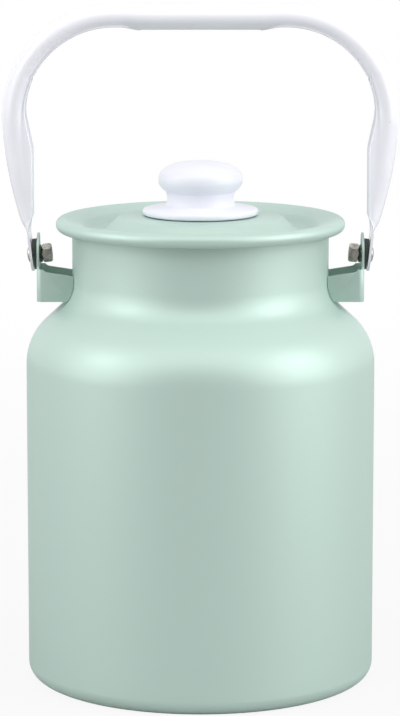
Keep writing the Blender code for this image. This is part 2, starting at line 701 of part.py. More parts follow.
def build_bail(parent):
    """The bail: one half lofted through its sections, mirrored, with a bolt hole at each end."""
    top, corner, arm, foot, tab = bail_path()
    path = [Vector(point) for point in top + corner + arm + foot + tab]
    grip_end = GRIP_HALF_LENGTH
    blend_end = GRIP_HALF_LENGTH + GRIP_BLEND_LENGTH
    blend_start = len(top) + len(corner) - len(corner) // 3
    arm_start_height = corner[-1][1]
    rings = []
    for i, point in enumerate(path):
        before = path[max(0, i - 1)]
        after = path[min(len(path) - 1, i + 1)]
        along = (after - before).normalized()
        if i == 0:
            along = Vector((1, 0))
        inward = Vector((along.y, -along.x))
        in_corner = 1 if i >= len(top) else smooth(point.x, grip_end, blend_end)
        depth = mix(GRIP_DEPTH, CORNER_DEPTH, in_corner)
        half_width = mix(GRIP_HALF_WIDTH, CORNER_HALF_WIDTH, in_corner)
        close = mix(GRIP_CLOSE, CORNER_CLOSE, in_corner)
        lip_share = mix(0, CORNER_LIP_SHARE, in_corner)
        flat = 0
        if i >= blend_start:
            fall = 1 - point.y / arm_start_height
            in_arm = smooth(fall, *ARM_BLEND_SHARES)
            low = smooth(fall, *ARM_NARROWING_SHARES)
            room = (point.x - TAB_INNER_FACE) / max(-inward.x, MERGE)
            depth = min(mix(CORNER_DEPTH, ARM_DEPTH, in_arm), room)
            half_width = mix(mix(CORNER_HALF_WIDTH, ARM_HALF_WIDTH, in_arm), TAB_RADIUS, low)
            close = mix(mix(CORNER_CLOSE, ARM_CLOSE, in_arm), ARM_LOW_CLOSE, low)
            lip_share = mix(CORNER_LIP_SHARE, ARM_LIP_SHARE, in_arm)
            flat = smooth(-point.y, -ARM_END_RISE, -TAB_TOP_RISE)
        if point.y < 0:
            half_width = math.sqrt(max(0, TAB_RADIUS ** 2 - (point.y / math.cos(TAB_LEAN)) ** 2))
        section = bail_section(depth, half_width, close, lip_share, flat)
        rings.append([(point.x + inward.x * u, v, point.y + inward.y * u) for u, v in section])

    work = bmesh.new()
    loops = [[work.verts.new(co) for co in ring] for ring in rings]
    count = len(loops[0])
    for first, second in zip(loops, loops[1:]):
        for i in range(count):
            j = (i + 1) % count
            work.faces.new((first[i], second[i], second[j], first[j]))
    end = loops[-1]
    for i in range(count // 2 - 1):
        work.faces.new((end[i], end[count - 1 - i], end[count - 2 - i], end[i + 1]))
    bmesh.ops.recalc_face_normals(work, faces=work.faces)
    for face in work.faces:
        face.smooth = True
    mesh = bpy.data.meshes.new("bail_handle")
    work.to_mesh(mesh)
    work.free()
    bail = new_object("bail_handle", mesh, parts, parent)
    mirror = bail.modifiers.new("Other half", "MIRROR")
    mirror.use_axis[0] = True
    mirror.merge_threshold = MERGE
    hole = arc((0, 0), BOLT_RADIUS + BOLT_HOLE_CLEARANCE, 0, 2 * math.pi,
               2 * math.pi / SMALL_STEPS)[:-1]
    for side in (1, -1):
        turn = Matrix.Rotation(math.pi / 2 * (1 - side), 4, "Z")
        frame = turn @ pivot_frame() @ Matrix.Translation((0, 0, pivot_depths()[0]))
        combine(bail, as_cutter(plate("bail_hole_%s" % ("right" if side > 0 else "left"), hole,
                                      CUT_OVERRUN, frame, cutters)))
    return bail


def finish(names, made_of):
    """Give the named objects a material."""
    for name in names:
        mesh = bpy.data.objects[name].data
        if not mesh.materials:
            mesh.materials.append(made_of)


for old in list(bpy.data.objects):
    bpy.data.objects.remove(old)

parts = collection("enamel_milk_can")
cutters = collection("cutters")

build_body()
build_bracket("right_bracket", 1)
build_bracket("left_bracket", -1)
lid_empty = new_empty("lid_seat", MOUTH_HEIGHT)
build_lid(lid_empty)
knob_empty = new_empty("knob_seat", lid_heights()[3] + SEAT_GAP, lid_empty)
build_knob(knob_empty)
build_knob_fixings(knob_empty)
pivot_empty = new_empty("bail_axis", PIVOT_HEIGHT)
build_bail(pivot_empty)
build_pivots(pivot_empty)

enamel = make_material("mint_enamel", (0.5, 0.65, 0.59), 0.2, 0.0)
white_enamel = make_material("white_enamel", (0.88, 0.89, 0.93), 0.15, 0.0)
white_plastic = make_material("white_plastic", (0.86, 0.86, 0.92), 0.25, 0.0)
steel = make_material("zinc_plated_steel", (0.55, 0.54, 0.5), 0.3, 1.0)
rubber = make_material("dark_rubber", (0.04, 0.05, 0.045), 0.7, 0.0)
brass = make_material("brass", (0.78, 0.6, 0.32), 0.3, 1.0)

finish(["body_shell", "right_bracket", "left_bracket", "lid_shell"], enamel)
finish(["bail_handle"], white_enamel)
finish(["knob"], white_plastic)
finish(["knob_insert"], brass)
finish(["knob_screw", "knob_screw_washer"], steel)
for hand in ("left_", "right_"):
    finish([hand + "pivot_bolt", hand + "nut"], steel)
    finish([hand + "outer_washer", hand + "inner_washer"], rubber)
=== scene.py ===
"""Finished pieces, finishes and studio of an enamelled milk can.

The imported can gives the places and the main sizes. Each operator builds one piece or one
group of like pieces over it, and the last one builds the studio. Lengths are in metres,
+Z is up, the handle pivots lie along X and the can is seen from -Y.
"""

import json
import math

import bmesh
import bpy
from bpy.props import FloatProperty, FloatVectorProperty, PointerProperty
from bpy.types import Operator, Panel, PropertyGroup
from mathutils import Matrix, Vector


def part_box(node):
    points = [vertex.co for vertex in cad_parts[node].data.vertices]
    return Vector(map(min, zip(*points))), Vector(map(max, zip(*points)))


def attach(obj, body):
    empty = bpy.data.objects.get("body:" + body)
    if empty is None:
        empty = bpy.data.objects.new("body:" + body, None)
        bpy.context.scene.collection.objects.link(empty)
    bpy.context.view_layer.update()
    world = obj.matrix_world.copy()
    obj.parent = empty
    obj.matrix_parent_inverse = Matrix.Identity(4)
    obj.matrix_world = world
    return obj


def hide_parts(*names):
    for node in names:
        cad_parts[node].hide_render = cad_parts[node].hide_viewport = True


bl_info = {
    "name": "Enamel Milk Can",
    "version": (1, 0, 0),
    "blender": (4, 5, 0),
    "location": "3D View > Sidebar > Milk Can",
    "description": "Builds the finished pieces of an enamelled milk can and its studio",
    "category": "Add Mesh",
}

MM = 0.001
DEG = math.pi / 180.0

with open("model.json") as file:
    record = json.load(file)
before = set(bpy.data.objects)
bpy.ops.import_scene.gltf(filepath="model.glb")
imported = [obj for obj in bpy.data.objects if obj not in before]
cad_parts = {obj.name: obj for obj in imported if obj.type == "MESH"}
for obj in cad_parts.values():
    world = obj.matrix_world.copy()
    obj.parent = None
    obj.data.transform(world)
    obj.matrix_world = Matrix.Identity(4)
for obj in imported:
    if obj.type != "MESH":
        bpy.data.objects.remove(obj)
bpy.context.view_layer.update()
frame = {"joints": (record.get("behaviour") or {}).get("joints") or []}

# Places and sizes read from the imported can
BODY_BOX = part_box("body_shell")
KNOB_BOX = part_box("knob")
BAIL_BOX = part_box("bail_handle")
INSERT_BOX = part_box("knob_insert")
SCREW_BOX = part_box("knob_screw")
SCREW_WASHER_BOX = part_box("knob_screw_washer")
SWING = next(joint for joint in frame["joints"] if joint["name"] == "bail_swing")
PIVOT_HEIGHT = SWING["pos_m"][2]

# Gaps between separate pieces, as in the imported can
SEAT_GAP = 0.3 * MM
BOLT_HOLE_CLEARANCE = 0.35 * MM
EAR_HOLE_CLEARANCE = 0.6 * MM

# Welding distance, and how far cutting tools run past what they cut
MERGE = 0.000005
CUT_OVERRUN = 5.0 * MM

# Where the floor fades, as shares of its radius
FADE_SHARES = (0.12, 0.75)

# Edges of the sky's front, back and top, as parts of a direction from -1 to 1
FRONT_DEPTHS = (-0.95, -0.43)
BACK_DEPTHS = (-0.15, 0.45)
TOP_HEIGHTS = (0.45, 0.85)

# Facets of turned pieces and of bends
ROUND_STEPS = 160
KNOB_STEPS = 96
SMALL_STEPS = 48
FLOOR_STEPS = 96
BEND_STEP = 5.0 * DEG
FINE_BEND_STEP = 2.5 * DEG
LID_BEND_STEP = 7.5 * DEG
LID_ROLL_STEP = 10.0 * DEG
TIGHT_BEND_STEP = 15.0 * DEG

# Edges that stay sharp, and how much small pieces' edges are rounded
SHARP_ANGLE = 35.0 * DEG
BAIL_SHARP_ANGLE = 50.0 * DEG
WASHER_EDGE = 0.12 * MM
NUT_EDGE = 0.15 * MM
SCREW_WASHER_EDGE_SHARE = 0.2

# Grooves around the knob's insert: their places and sizes as shares of it
GROOVE_PLACES = (0.7, 0.3)
GROOVE_DEPTH_SHARE = 1 / 3
GROOVE_HALF_WIDTH_SHARE = 1 / 12

# Stretches of the bail from one section to the next
GRIP_STEPS = 4
GRIP_BLEND_STEPS = 12
ARM_STEPS = 26
ARM_FOOT_STEPS = 14
TAB_STEPS = 4
TAB_END_STEPS = 10
TAB_END_TURN = 80.0 * DEG

# Where the arms take their shape, as shares of their way down to the pivots
ARM_BLEND_SHARES = (-0.2, 0.25)
ARM_NARROWING_SHARES = (0.3, 0.7)

# A colour mix's two colours and its result, by place
MIX_FIRST = 6
MIX_SECOND = 7
MIX_RESULT = 2

# The camera's sensor in millimetres, and how near and far it sees
SENSOR_WIDTH = 36.0
NEAREST = 0.01
FARTHEST = 50.0


def length(name, description, default):
    """A property that holds a length."""
    return FloatProperty(name=name, description=description, default=default, min=0.0,
                         unit="LENGTH", subtype="DISTANCE", precision=5)


def angle(name, description, default):
    """A property that holds an angle."""
    return FloatProperty(name=name, description=description, default=default,
                         unit="ROTATION", subtype="ANGLE")


def share(name, description, default):
    """A property that holds a share from 0 to 1."""
    return FloatProperty(name=name, description=description, default=default, min=0.0, max=1.0,
                         subtype="FACTOR")


def colour(name, description, default):
    """A property that holds a colour."""
    return FloatVectorProperty(name=name, description=description, default=default, min=0.0,
                               max=1.0, size=3, subtype="COLOR")


class BodySizes(PropertyGroup):
    """Sizes of the drawn can."""

    radius: length("Radius", "Outer radius of the straight side", BODY_BOX[1].x)
    wall: length("Sheet", "Thickness of the enamelled sheet", 1.0 * MM)
    base_corner: length("Base corner", "Radius between side and base", 7.0 * MM)
    foot_ring: length("Foot ring", "Width of the flat ring that the can stands on", 12.0 * MM)
    recess: length("Recess", "Rise of the base inside the foot ring", 1.2 * MM)
    recess_slope: length("Recess slope", "Width of the slope into the recess", 4.0 * MM)
    side_height: length("Side height", "Height where side and shoulder cone would meet", 148.9 * MM)
    shoulder_rise: length("Shoulder rise", "Height of the shoulder cone", 18.4 * MM)
    shoulder_width: length("Shoulder width", "How far the neck lies inside the side", 20.0 * MM)
    shoulder_radius: length("Shoulder radius", "Radius between side and shoulder", 25.4 * MM)
    neck_bend: length("Neck bend", "Radius between shoulder and neck", 15.7 * MM)
    neck_rise: length("Neck rise", "Height of the neck up to the rolled mouth", 29.4 * MM)
    mouth_fold: length("Mouth fold", "Radius inside the roll of the mouth", 0.4 * MM)
    mouth_turn: angle("Mouth turn", "How far the mouth is rolled over", 220.0 * DEG)


class LidSizes(PropertyGroup):
    """Sizes of the pressed lid."""

    wall: length("Sheet", "Thickness of the enamelled sheet", 1.0 * MM)
    overhang: length("Overhang", "How far the rolled edge stands out from the neck", 6.95 * MM)
    roll_radius: length("Roll radius", "Outer radius of the rolled edge", 2.84 * MM)
    roll_end: angle("Roll end", "Where the roll ends, from the outward direction", -112.0 * DEG)
    brim_angle: angle("Brim angle", "Slope of the brim up to its rolled edge", 20.0 * DEG)
    gutter_depth: length("Gutter depth", "Gutter floor below the top of the roll", 5.5 * MM)
    mouth_clearance: length("Mouth clearance", "Gap between gutter and mouth", 3.0 * MM)
    gutter_wall: length("Gutter wall", "Width of the slope into the gutter", 3.5 * MM)
    gutter_floor: length("Gutter floor", "Width of the gutter's floor", 6.1 * MM)
    gutter_bend: length("Gutter bend", "Radius of the gutter's bends", 2.5 * MM)
    dome_slope: length("Dome slope", "Width of the slope up to the middle", 6.4 * MM)
    dome_rise: length("Dome rise", "Middle above the gutter's floor", 5.9 * MM)
    dome_bend: length("Dome bend", "Radius of the middle's edge", 3.0 * MM)
    seat_rise: length("Seat rise", "Rise from the middle's edge to the knob", 0.5 * MM)
    seat_margin: length("Seat margin", "Flat ring around the knob's flange", 1.2 * MM)


class KnobSizes(PropertyGroup):
    """Sizes of the knob and its fixings."""

    flange_radius: length("Flange radius", "Radius of the knob's foot", 24.8 * MM)
    flange_edge: length("Flange edge", "Height of the flange's edge", 2.6 * MM)
    flange_rise: length("Flange rise", "Rise of the flange up to the neck", 1.5 * MM)
    flange_rounding: length("Flange rounding", "Radius of the flange's edges", 1.15 * MM)
    neck_fillet: length("Neck fillet", "Radius between flange and neck", 1.2 * MM)
    neck_radius: length("Neck radius", "Radius of the knob's neck", 14.8 * MM)
    waist_depth: length("Waist depth", "How far the neck draws in", 0.45 * MM)
    cap_radius: length("Cap radius", "Radius of the cap", 18.1 * MM)
    cap_height: length("Cap height", "Height of the cap's widest ring", 14.9 * MM)
    cap_crown: length("Cap crown", "Height of the crown above that ring", 8.0 * MM)
    cap_undercut: length("Cap undercut", "Depth of the round below that ring", 8.5 * MM)
    crown_power: FloatProperty(name="Crown power", description="Squareness of the crown, 2 is round",
                               default=2.5, min=1.0)


class BracketSizes(PropertyGroup):
    """Sizes of the handle brackets."""

    reach: length("Reach", "How far the ear stands out from the neck", 14.95 * MM)
    width: length("Width", "Width across both legs", 22.0 * MM)
    sheet: length("Sheet", "Thickness of the strap", 0.9 * MM)
    bend: length("Bend", "Outer radius of the strap's bends", 2.2 * MM)
    drop: length("Drop", "Lower edge below the corner of shoulder and neck", 1.7 * MM)
    height_out: length("Outer height", "Height of the legs at the ear", 13.0 * MM)
    height_in: length("Inner height", "Height of the legs at the neck", 10.6 * MM)
    leg_fillet: length("Leg fillet", "Radius between legs and ear", 3.0 * MM)
    ear_radius: length("Ear radius", "Radius of the ear's top", 9.1 * MM)
    ear_fillet: length("Ear fillet", "Radius at the ear's foot", 1.5 * MM)
    edge: length("Edge", "Rounding of the sheet's edges", 0.16 * MM)


class PivotSizes(PropertyGroup):
    """Sizes of the handle's pivots."""

    lean: angle("Lean", "How far the handle's ends lean out", 6.0 * DEG)
    bolt_radius: length("Bolt radius", "Radius of the bolt", 2.0 * MM)
    head_radius: length("Head radius", "Radius of the bolt's head", 3.4 * MM)
    head_height: length("Head height", "Height of the bolt's head", 1.0 * MM)
    slot_width: length("Slot width", "Width of the driver slots", 1.1 * MM)
    slot_depth: length("Slot depth", "Depth of the driver slots", 0.6 * MM)
    thread_pitch: length("Thread pitch", "Pitch of the bolt's thread", 0.7 * MM)
    thread_depth: length("Thread depth", "Depth of the bolt's thread", 0.22 * MM)
    outer_washer_radius: length("Outer washer", "Radius of the outer washer", 6.6 * MM)
    outer_washer_thickness: length("Outer washer thickness", "Thickness at its middle", 1.4 * MM)
    inner_washer_radius: length("Inner washer", "Radius of the inner washer", 3.8 * MM)
    inner_washer_thickness: length("Inner washer thickness", "Thickness at its middle", 0.7 * MM)
    nut_across_flats: length("Nut", "Width of the nut across its flats", 7.0 * MM)
    nut_length: length("Nut length", "Length of the nut", 4.1 * MM)
    nut_chamfer: length("Nut chamfer", "Chamfer of the nut's ends", 0.7 * MM)
    screw_radius: length("Screw radius", "Radius of the knob's screw", 2.5 * MM)
    screw_head_rounding: length("Screw rounding", "Radius of the screw head's edge", 1.0 * MM)


class BailSizes(PropertyGroup):
    """Sizes of the bail handle."""

    sheet: length("Sheet", "Thickness of the pressed sheet", 1.1 * MM)
    spread: length("Spread", "Widest point beyond the ears", 14.85 * MM)
    corner_radius: length("Corner radius", "Radius of the upper corners", 48.3 * MM)
    corner_overturn: angle("Overturn", "How far a corner turns past upright", 4.0 * DEG)
    arm_end_rise: length("Arm end rise", "Arm's lower end above the pivots", 14.8 * MM)
    arm_end_offset: length("Arm end offset", "Arm's end outside the flat end", 2.4 * MM)
    arm_end_lean: angle("Arm end lean", "Lean of the arm's lower end", 17.5 * DEG)
    tab_top_rise: length("Tab top", "Upper end of the flat above the pivots", 7.9 * MM)
    tab_radius: length("Tab radius", "Radius of the flat ends", 7.5 * MM)
    grip_half_length: length("Half grip", "Half the length of the closed grip", 25.0 * MM)
    grip_blend: length("Grip blend", "Length over which the grip opens", 9.0 * MM)
    grip_depth: length("Grip depth", "Depth of the grip", 11.2 * MM)
    grip_half_width: length("Grip half width", "Half the width of the grip", 10.0 * MM)
    grip_close: angle("Grip closing", "How far the grip closes", 163.0 * DEG)
    corner_depth: length("Corner depth", "Depth of the corners", 9.6 * MM)
    corner_half_width: length("Corner half width", "Half the width of the corners", 9.0 * MM)
    corner_close: angle("Corner closing", "How far the corners close", 126.0 * DEG)
    corner_lip: share("Corner lip", "Lip's share of the corners' depth", 0.08)
    arm_depth: length("Arm depth", "Depth of the arms", 11.6 * MM)
    arm_half_width: length("Arm half width", "Half the width of the arms", 8.5 * MM)
    arm_close: angle("Arm closing", "How far the arms close", 105.0 * DEG)
    arm_low_close: angle("Low arm closing", "How far the arms close at their ends", 76.0 * DEG)
    arm_lip: share("Arm lip", "Lip's share of the arms' depth", 0.3)
    lip_flare: share("Lip flare", "How far the lips spread again", 0.2)
    edge: length("Edge", "Rounding of the sheet's edges", 0.3 * MM)


class Finishes(PropertyGroup):
    """Colours of the finishes."""

    mint: colour("Mint enamel", "Outer enamel of can, lid and brackets", (0.505, 0.655, 0.60))
    inside: colour("Inner enamel", "Enamel inside the can and under the lid", (0.86, 0.87, 0.86))
    # The blue in the handle's and the knob's white is painted shade: it stands for the cool tone on
    # their shaded sides.
    handle: colour("Handle enamel", "White enamel of the handle", (0.84, 0.845, 0.90))
    knob: colour("Knob plastic", "White plastic of the knob", (0.82, 0.825, 0.90))
    zinc: colour("Zinc", "Plating of bolts, nuts and screw", (0.50, 0.475, 0.43))
    # Near-black green-grey of the washers, which also paints the shade in the dark gaps between the
    # handle's ends, the ears and the nuts.
    rubber_and_gap_shade: colour("Rubber", "Dark washers", (0.045, 0.06, 0.052))
    brass: colour("Brass", "Threaded insert", (0.78, 0.60, 0.32))


class Studio(PropertyGroup):
    """Camera, lamps and floor."""

    camera_distance: length("Camera distance", "Camera in front of the can's axis", 1.4052)
    camera_side: FloatProperty(name="Camera side", description="Camera to the right of the axis",
                               default=-0.2 * MM, unit="LENGTH", subtype="DISTANCE", precision=5)
    camera_height: length("Camera height", "Camera above the floor", 0.37825)
    camera_pitch: angle("Camera pitch", "How far the camera looks down", 9.643 * DEG)
    camera_lens: FloatProperty(name="Lens", description="Focal length in millimetres",
                               default=166.02, min=1.0)
    sides: FloatProperty(name="Sides", description="Light from both sides", default=2.65)
    front: FloatProperty(name="Front", description="Light from the camera's side", default=0.12)
    back: FloatProperty(name="Back", description="Light from behind", default=0.3)
    above: FloatProperty(name="Above", description="Light from above", default=1.05)
    right_lean: FloatProperty(name="Right lean", default=0.15,
                              description="How much stronger the light is from the right")
    front_lean: FloatProperty(name="Front lean", default=0.7,
                              description="How much stronger the top light is at the front")
    lamp_turn: angle("Lamp turn", "Side lamps, from the camera's direction", 72 * DEG)
    lamp_rise: angle("Lamp rise", "Side lamps above the horizon", 30 * DEG)
    lamp_distance: length("Lamp distance", "Side lamps from the can", 1.2)
    lamp_size: length("Lamp size", "Width and height of the side lamps", 0.32)
    right_lamp: FloatProperty(name="Right lamp", description="Power of the right lamp",
                              default=1.2, unit="POWER")
    left_lamp: FloatProperty(name="Left lamp", description="Power of the left lamp",
                             default=1.3, unit="POWER")
    floor_shade: share("Floor shade", "Grey of the floor as light falls on it", 0.5)
    floor_white: share("Floor white", "How far the floor is lightened for the camera", 0.9)
    floor_radius: length("Floor radius", "Radius of the floor", 1.6)


class MilkCan(PropertyGroup):
    """All sizes and colours."""

    body: PointerProperty(type=BodySizes)
    lid: PointerProperty(type=LidSizes)
    knob: PointerProperty(type=KnobSizes)
    bracket: PointerProperty(type=BracketSizes)
    pivot: PointerProperty(type=PivotSizes)
    bail: PointerProperty(type=BailSizes)
    finishes: PointerProperty(type=Finishes)
    studio: PointerProperty(type=Studio)


# Shader nodes


class Wire:
    """A node's output that can be used in sums; each sum adds its Math node."""

    def __init__(self, graph, socket):
        self.graph = graph
        self.socket = socket

    def maths(self, operation, first, second):
        """The result of a Math node on two wires or numbers."""
        return self.graph.add("ShaderNodeMath", {"operation": operation}, {0: first, 1: second})

    def __add__(self, other):
        return self.maths("ADD", self, other)

    def __radd__(self, other):
        return self.maths("ADD", other, self)

    def __sub__(self, other):
        return self.maths("SUBTRACT", self, other)

    def __rsub__(self, other):
        return self.maths("SUBTRACT", other, self)

    def __mul__(self, other):
        return self.maths("MULTIPLY", self, other)

    def __rmul__(self, other):
        return self.maths("MULTIPLY", other, self)


class Graph:
    """A node tree and the method that adds nodes to it."""

    def __init__(self, owner):
        owner.use_nodes = True
        self.tree = owner.node_tree

    def add(self, kind, settings=None, values=None, output=0):
        """Add a node: its settings first, then its sockets' values or links; returns an output."""
        node = self.tree.nodes.new(kind)
        for name, value in (settings or {}).items():
            setattr(node, name, value)
        for key, value in (values or {}).items():
            self.feed(node.inputs[key], value)
        return Wire(self, node.outputs[output])

    def feed(self, socket, value):
        """Link a wire to a socket or set the socket's own value."""
        if isinstance(value, Wire):
            self.tree.links.new(value.socket, socket)
        else:
            socket.default_value = value

    def place(self):
        """Coordinates that stay on the piece, in metres."""
        return self.add("ShaderNodeTexCoord", output="Object")

    def noise(self, scale, detail=2.0, stretch=(1.0, 1.0, 1.0)):
        """Noise from 0 to 1, with features about one over the scale in size."""
        at = self.add("ShaderNodeMapping", {}, {"Vector": self.place(), "Scale": stretch})
        return self.add("ShaderNodeTexNoise", {},
                        {"Vector": at, "Scale": scale, "Detail": detail}, "Fac")

    def blend(self, factor, first, second):
        """A colour between two others."""
        return self.add("ShaderNodeMix", {"data_type": "RGBA"},
                        {"Factor": factor, MIX_FIRST: first, MIX_SECOND: second}, MIX_RESULT)

    def between(self, value, low, high):
        """0 below low, 1 above high and an easy curve between."""
        return self.add("ShaderNodeMapRange", {"interpolation_type": "SMOOTHSTEP"},
                        {"Value": value, "From Min": low, "From Max": high})


class Finish(Graph):
    """A new material and the ways to vary it."""

    def __init__(self, name, rgb, roughness, ior=1.5, metallic=0.0):
        self.material = bpy.data.materials.new(name)
        super().__init__(self.material)
        self.shader = self.tree.nodes["Principled BSDF"]
        self.shader.inputs["Base Color"].default_value = (*rgb, 1.0)
        self.shader.inputs["Roughness"].default_value = roughness
        self.shader.inputs["IOR"].default_value = ior
        self.shader.inputs["Metallic"].default_value = metallic
        self.material.diffuse_color = (*rgb, 1.0)

    def paint(self, value):
        """Feed the base colour."""
        self.feed(self.shader.inputs["Base Color"], value)

    def roughen(self, value):
        """Feed the roughness."""
        self.feed(self.shader.inputs["Roughness"], value)

    def emboss(self, height, strength, distance):
        """Feed a bump from a height."""
        bump = self.add("ShaderNodeBump", {},
                        {"Height": height, "Strength": strength, "Distance": distance})
        self.feed(self.shader.inputs["Normal"], bump)


def shade_of(rgb, factor):
    """A colour made lighter or darker, as a socket wants it."""
    return (*(min(1.0, part * factor) for part in rgb), 1.0)


def known(name):
    """A finish that was made before, or None."""
    return bpy.data.materials.get(name)


def enamel(name, rgb):
    """Glossy vitreous enamel: faint clouds in its colour, soft waves and rare pinholes."""
    if known(name):
        return known(name)
    finish = Finish(name, rgb, roughness=0.15, ior=1.52)
    clouds = finish.between(finish.noise(scale=18.0, detail=3.0), low=0.3, high=0.7)
    clouded = finish.blend(clouds, shade_of(rgb, factor=0.985), shade_of(rgb, factor=1.012))
    cells = finish.add("ShaderNodeTexVoronoi", {}, {"Vector": finish.place(), "Scale": 210.0},
                       "Distance")
    rare = finish.between(finish.noise(scale=60.0, detail=1.0), low=0.66, high=0.7)
    pinholes = (1.0 - finish.between(cells, low=0.03, high=0.07)) * rare
    pinhole_depth = 0.5
    finish.paint(finish.blend(pinholes * pinhole_depth, clouded, shade_of(rgb, factor=0.45)))
    smoothest = 0.12
    unevenness = 0.05
    finish.roughen(smoothest + finish.noise(scale=35.0) * unevenness)
    wave_share = 3.0
    skin = finish.noise(scale=260.0, detail=1.0)
    waves = finish.noise(scale=55.0, detail=1.0)
    finish.emboss(skin + waves * wave_share, strength=0.12, distance=0.2 * MM)
    return finish.material


def mint_enamel(look):
    """Outer enamel."""
    return enamel("mint_enamel", look.mint)


def inner_enamel(look):
    """Enamel inside the can and under the lid."""
    return enamel("inner_enamel", look.inside)


def handle_enamel(look):
    """White enamel of the handle; the blue in its white paints the cool tone of its shade."""
    return enamel("handle_enamel", look.handle)


def knob_plastic(look):
    """Moulded gloss plastic, with faint flow marks around its axis; the blue in its white paints the
    cool tone of its shade.
    """
    if known("knob_plastic"):
        return known("knob_plastic")
    finish = Finish("knob_plastic", look.knob, roughness=0.3, ior=1.49)
    flow = finish.noise(scale=40.0, stretch=(1.0, 1.0, 6.0))
    finish.paint(finish.blend(flow, shade_of(look.knob, factor=0.985),
                              shade_of(look.knob, factor=1.01)))
    smoothest = 0.26
    unevenness = 0.08
    finish.roughen(smoothest + finish.noise(scale=120.0) * unevenness)
    finish.emboss(finish.noise(scale=500.0), strength=0.08, distance=0.1 * MM)
    return finish.material


def zinc_plate(look):
    """Dull zinc plate with turning marks and stains."""
    if known("zinc_plate"):
        return known("zinc_plate")
    finish = Finish("zinc_plate", look.zinc, roughness=0.3, metallic=1.0)
    stains = finish.between(finish.noise(scale=300.0, detail=3.0), low=0.4, high=0.75)
    finish.paint(finish.blend(stains, shade_of(look.zinc, factor=1.1),
                              shade_of(look.zinc, factor=0.6)))
    smoothest = 0.22
    unevenness = 0.25
    finish.roughen(smoothest + stains * unevenness)
    finish.emboss(finish.noise(scale=900.0, stretch=(8.0, 1.0, 1.0)), strength=0.2,
                  distance=0.05 * MM)
    return finish.material


def washer_rubber(look):
    """Dark matte washers; their near-black green-grey also paints the shade in the gaps at the pivots.
    """
    if known("washer_rubber"):
        return known("washer_rubber")
    finish = Finish("washer_rubber", look.rubber_and_gap_shade, roughness=0.6)
    bloom = finish.between(finish.noise(scale=220.0, detail=3.0), low=0.35, high=0.75)
    finish.paint(finish.blend(bloom, shade_of(look.rubber_and_gap_shade, factor=0.8),
                              shade_of(look.rubber_and_gap_shade, factor=1.8)))
    smoothest = 0.5
    unevenness = 0.2
    finish.roughen(smoothest + bloom * unevenness)
    finish.emboss(finish.noise(scale=1500.0), strength=0.25, distance=0.08 * MM)
    return finish.material


def turned_brass(look):
    """Turned brass."""
    if known("turned_brass"):
        return known("turned_brass")
    finish = Finish("turned_brass", look.brass, roughness=0.3, metallic=1.0)
    marks = finish.noise(scale=400.0, stretch=(1.0, 1.0, 12.0))
    finish.paint(finish.blend(marks, shade_of(look.brass, factor=0.85),
                              shade_of(look.brass, factor=1.1)))
    smoothest = 0.25
    unevenness = 0.15
    finish.roughen(smoothest + marks * unevenness)
    finish.emboss(marks, strength=0.2, distance=0.05 * MM)
    return finish.material


# Shapes


def arc(centre, radius, start, end, step):
    """Points of an arc in a plane, both ends included."""
    count = max(2, math.ceil(abs(end - start) / step))
    turns = [start + (end - start) * i / count for i in range(count + 1)]
    return [(centre[0] + radius * math.cos(a), centre[1] + radius * math.sin(a)) for a in turns]


def rounded(corners, step):
    """A polyline through (x, y, fillet radius) corners, with its inner corners rounded."""
    points = [corners[0][:2]]
    for before, corner, after in zip(corners, corners[1:], corners[2:]):
        here = Vector(corner[:2])
        to_before = Vector(before[:2]) - here
        to_after = Vector(after[:2]) - here
        turn = math.pi - to_before.angle(to_after)
        if corner[2] == 0 or turn < MERGE:
            points.append(tuple(here))
            continue
        reach = corner[2] * math.tan(turn / 2)
        reach = min(reach, to_before.length / 2, to_after.length / 2)
        radius = reach / math.tan(turn / 2)
        start = here + to_before.normalized() * reach
        middle = (to_before.normalized() + to_after.normalized()).normalized()
        centre = here + middle * (radius / math.cos(turn / 2))
        first = math.atan2(start.y - centre.y, start.x - centre.x)
        side = to_before.x * to_after.y - to_before.y * to_after.x
        points += arc(centre, radius, first, first + math.copysign(turn, -side), step)
    points.append(corners[-1][:2])
    return points


def smooth(value, low, high):
    """0 below low, 1 above high and an easy curve between."""
    part = min(1.0, max(0.0, (value - low) / (high - low)))
    return part * part * (3 - 2 * part)


def mix(first, second, part):
    """A value between two others."""
    return first + (second - first) * part


def hermite(start, start_way, end, end_way, count):
    """Points of a smooth curve after its start, up to and including its end."""
    reach = (Vector(end) - Vector(start)).length
    points = []
    for i in range(1, count + 1):
        t = i / count
        s = 1 - t
        points.append(s * s * (1 + 2 * t) * Vector(start) + t * s * s * reach * Vector(start_way)
                      + t * t * (1 + 2 * s) * Vector(end) - t * t * s * reach * Vector(end_way))
    return [tuple(point) for point in points]


def new_piece(name, mesh):
    """A new object in the scene, in place of an older one of that name."""
    old = bpy.data.objects.get(name)
    if old:
        bpy.data.objects.remove(old)
    made = bpy.data.objects.new(name, mesh)
    bpy.context.scene.collection.objects.link(made)
    return made


def hide_tool(made):
    """Keep a cutting tool out of the picture."""
    made.hide_render = True
    made.display_type = "WIRE"
    return made


def turned(name, points, steps, wall=0.0, closed=False, inner_slot=0):
    """A profile of (r, z) points turned about Z, thickened inwards where it has a wall."""
    count = len(points)
    edges = [(i, i + 1) for i in range(count - 1)]
    if closed:
        edges.append((count - 1, 0))
    mesh = bpy.data.meshes.new(name)
    mesh.from_pydata([(r, 0, z) for r, z in points], edges, [])
    made = new_piece(name, mesh)
    screw = made.modifiers.new("Turn", "SCREW")
    screw.axis = "Z"
    screw.angle = 2 * math.pi
    screw.steps = steps
    screw.render_steps = steps
    screw.use_merge_vertices = True
    screw.merge_threshold = MERGE
    screw.use_smooth_shade = True
    if wall:
        shell = made.modifiers.new("Wall", "SOLIDIFY")
        shell.thickness = wall
        shell.offset = -1
        shell.use_even_offset = True
        shell.use_quality_normals = True
        shell.material_offset = inner_slot
        shell.material_offset_rim = inner_slot
    return made


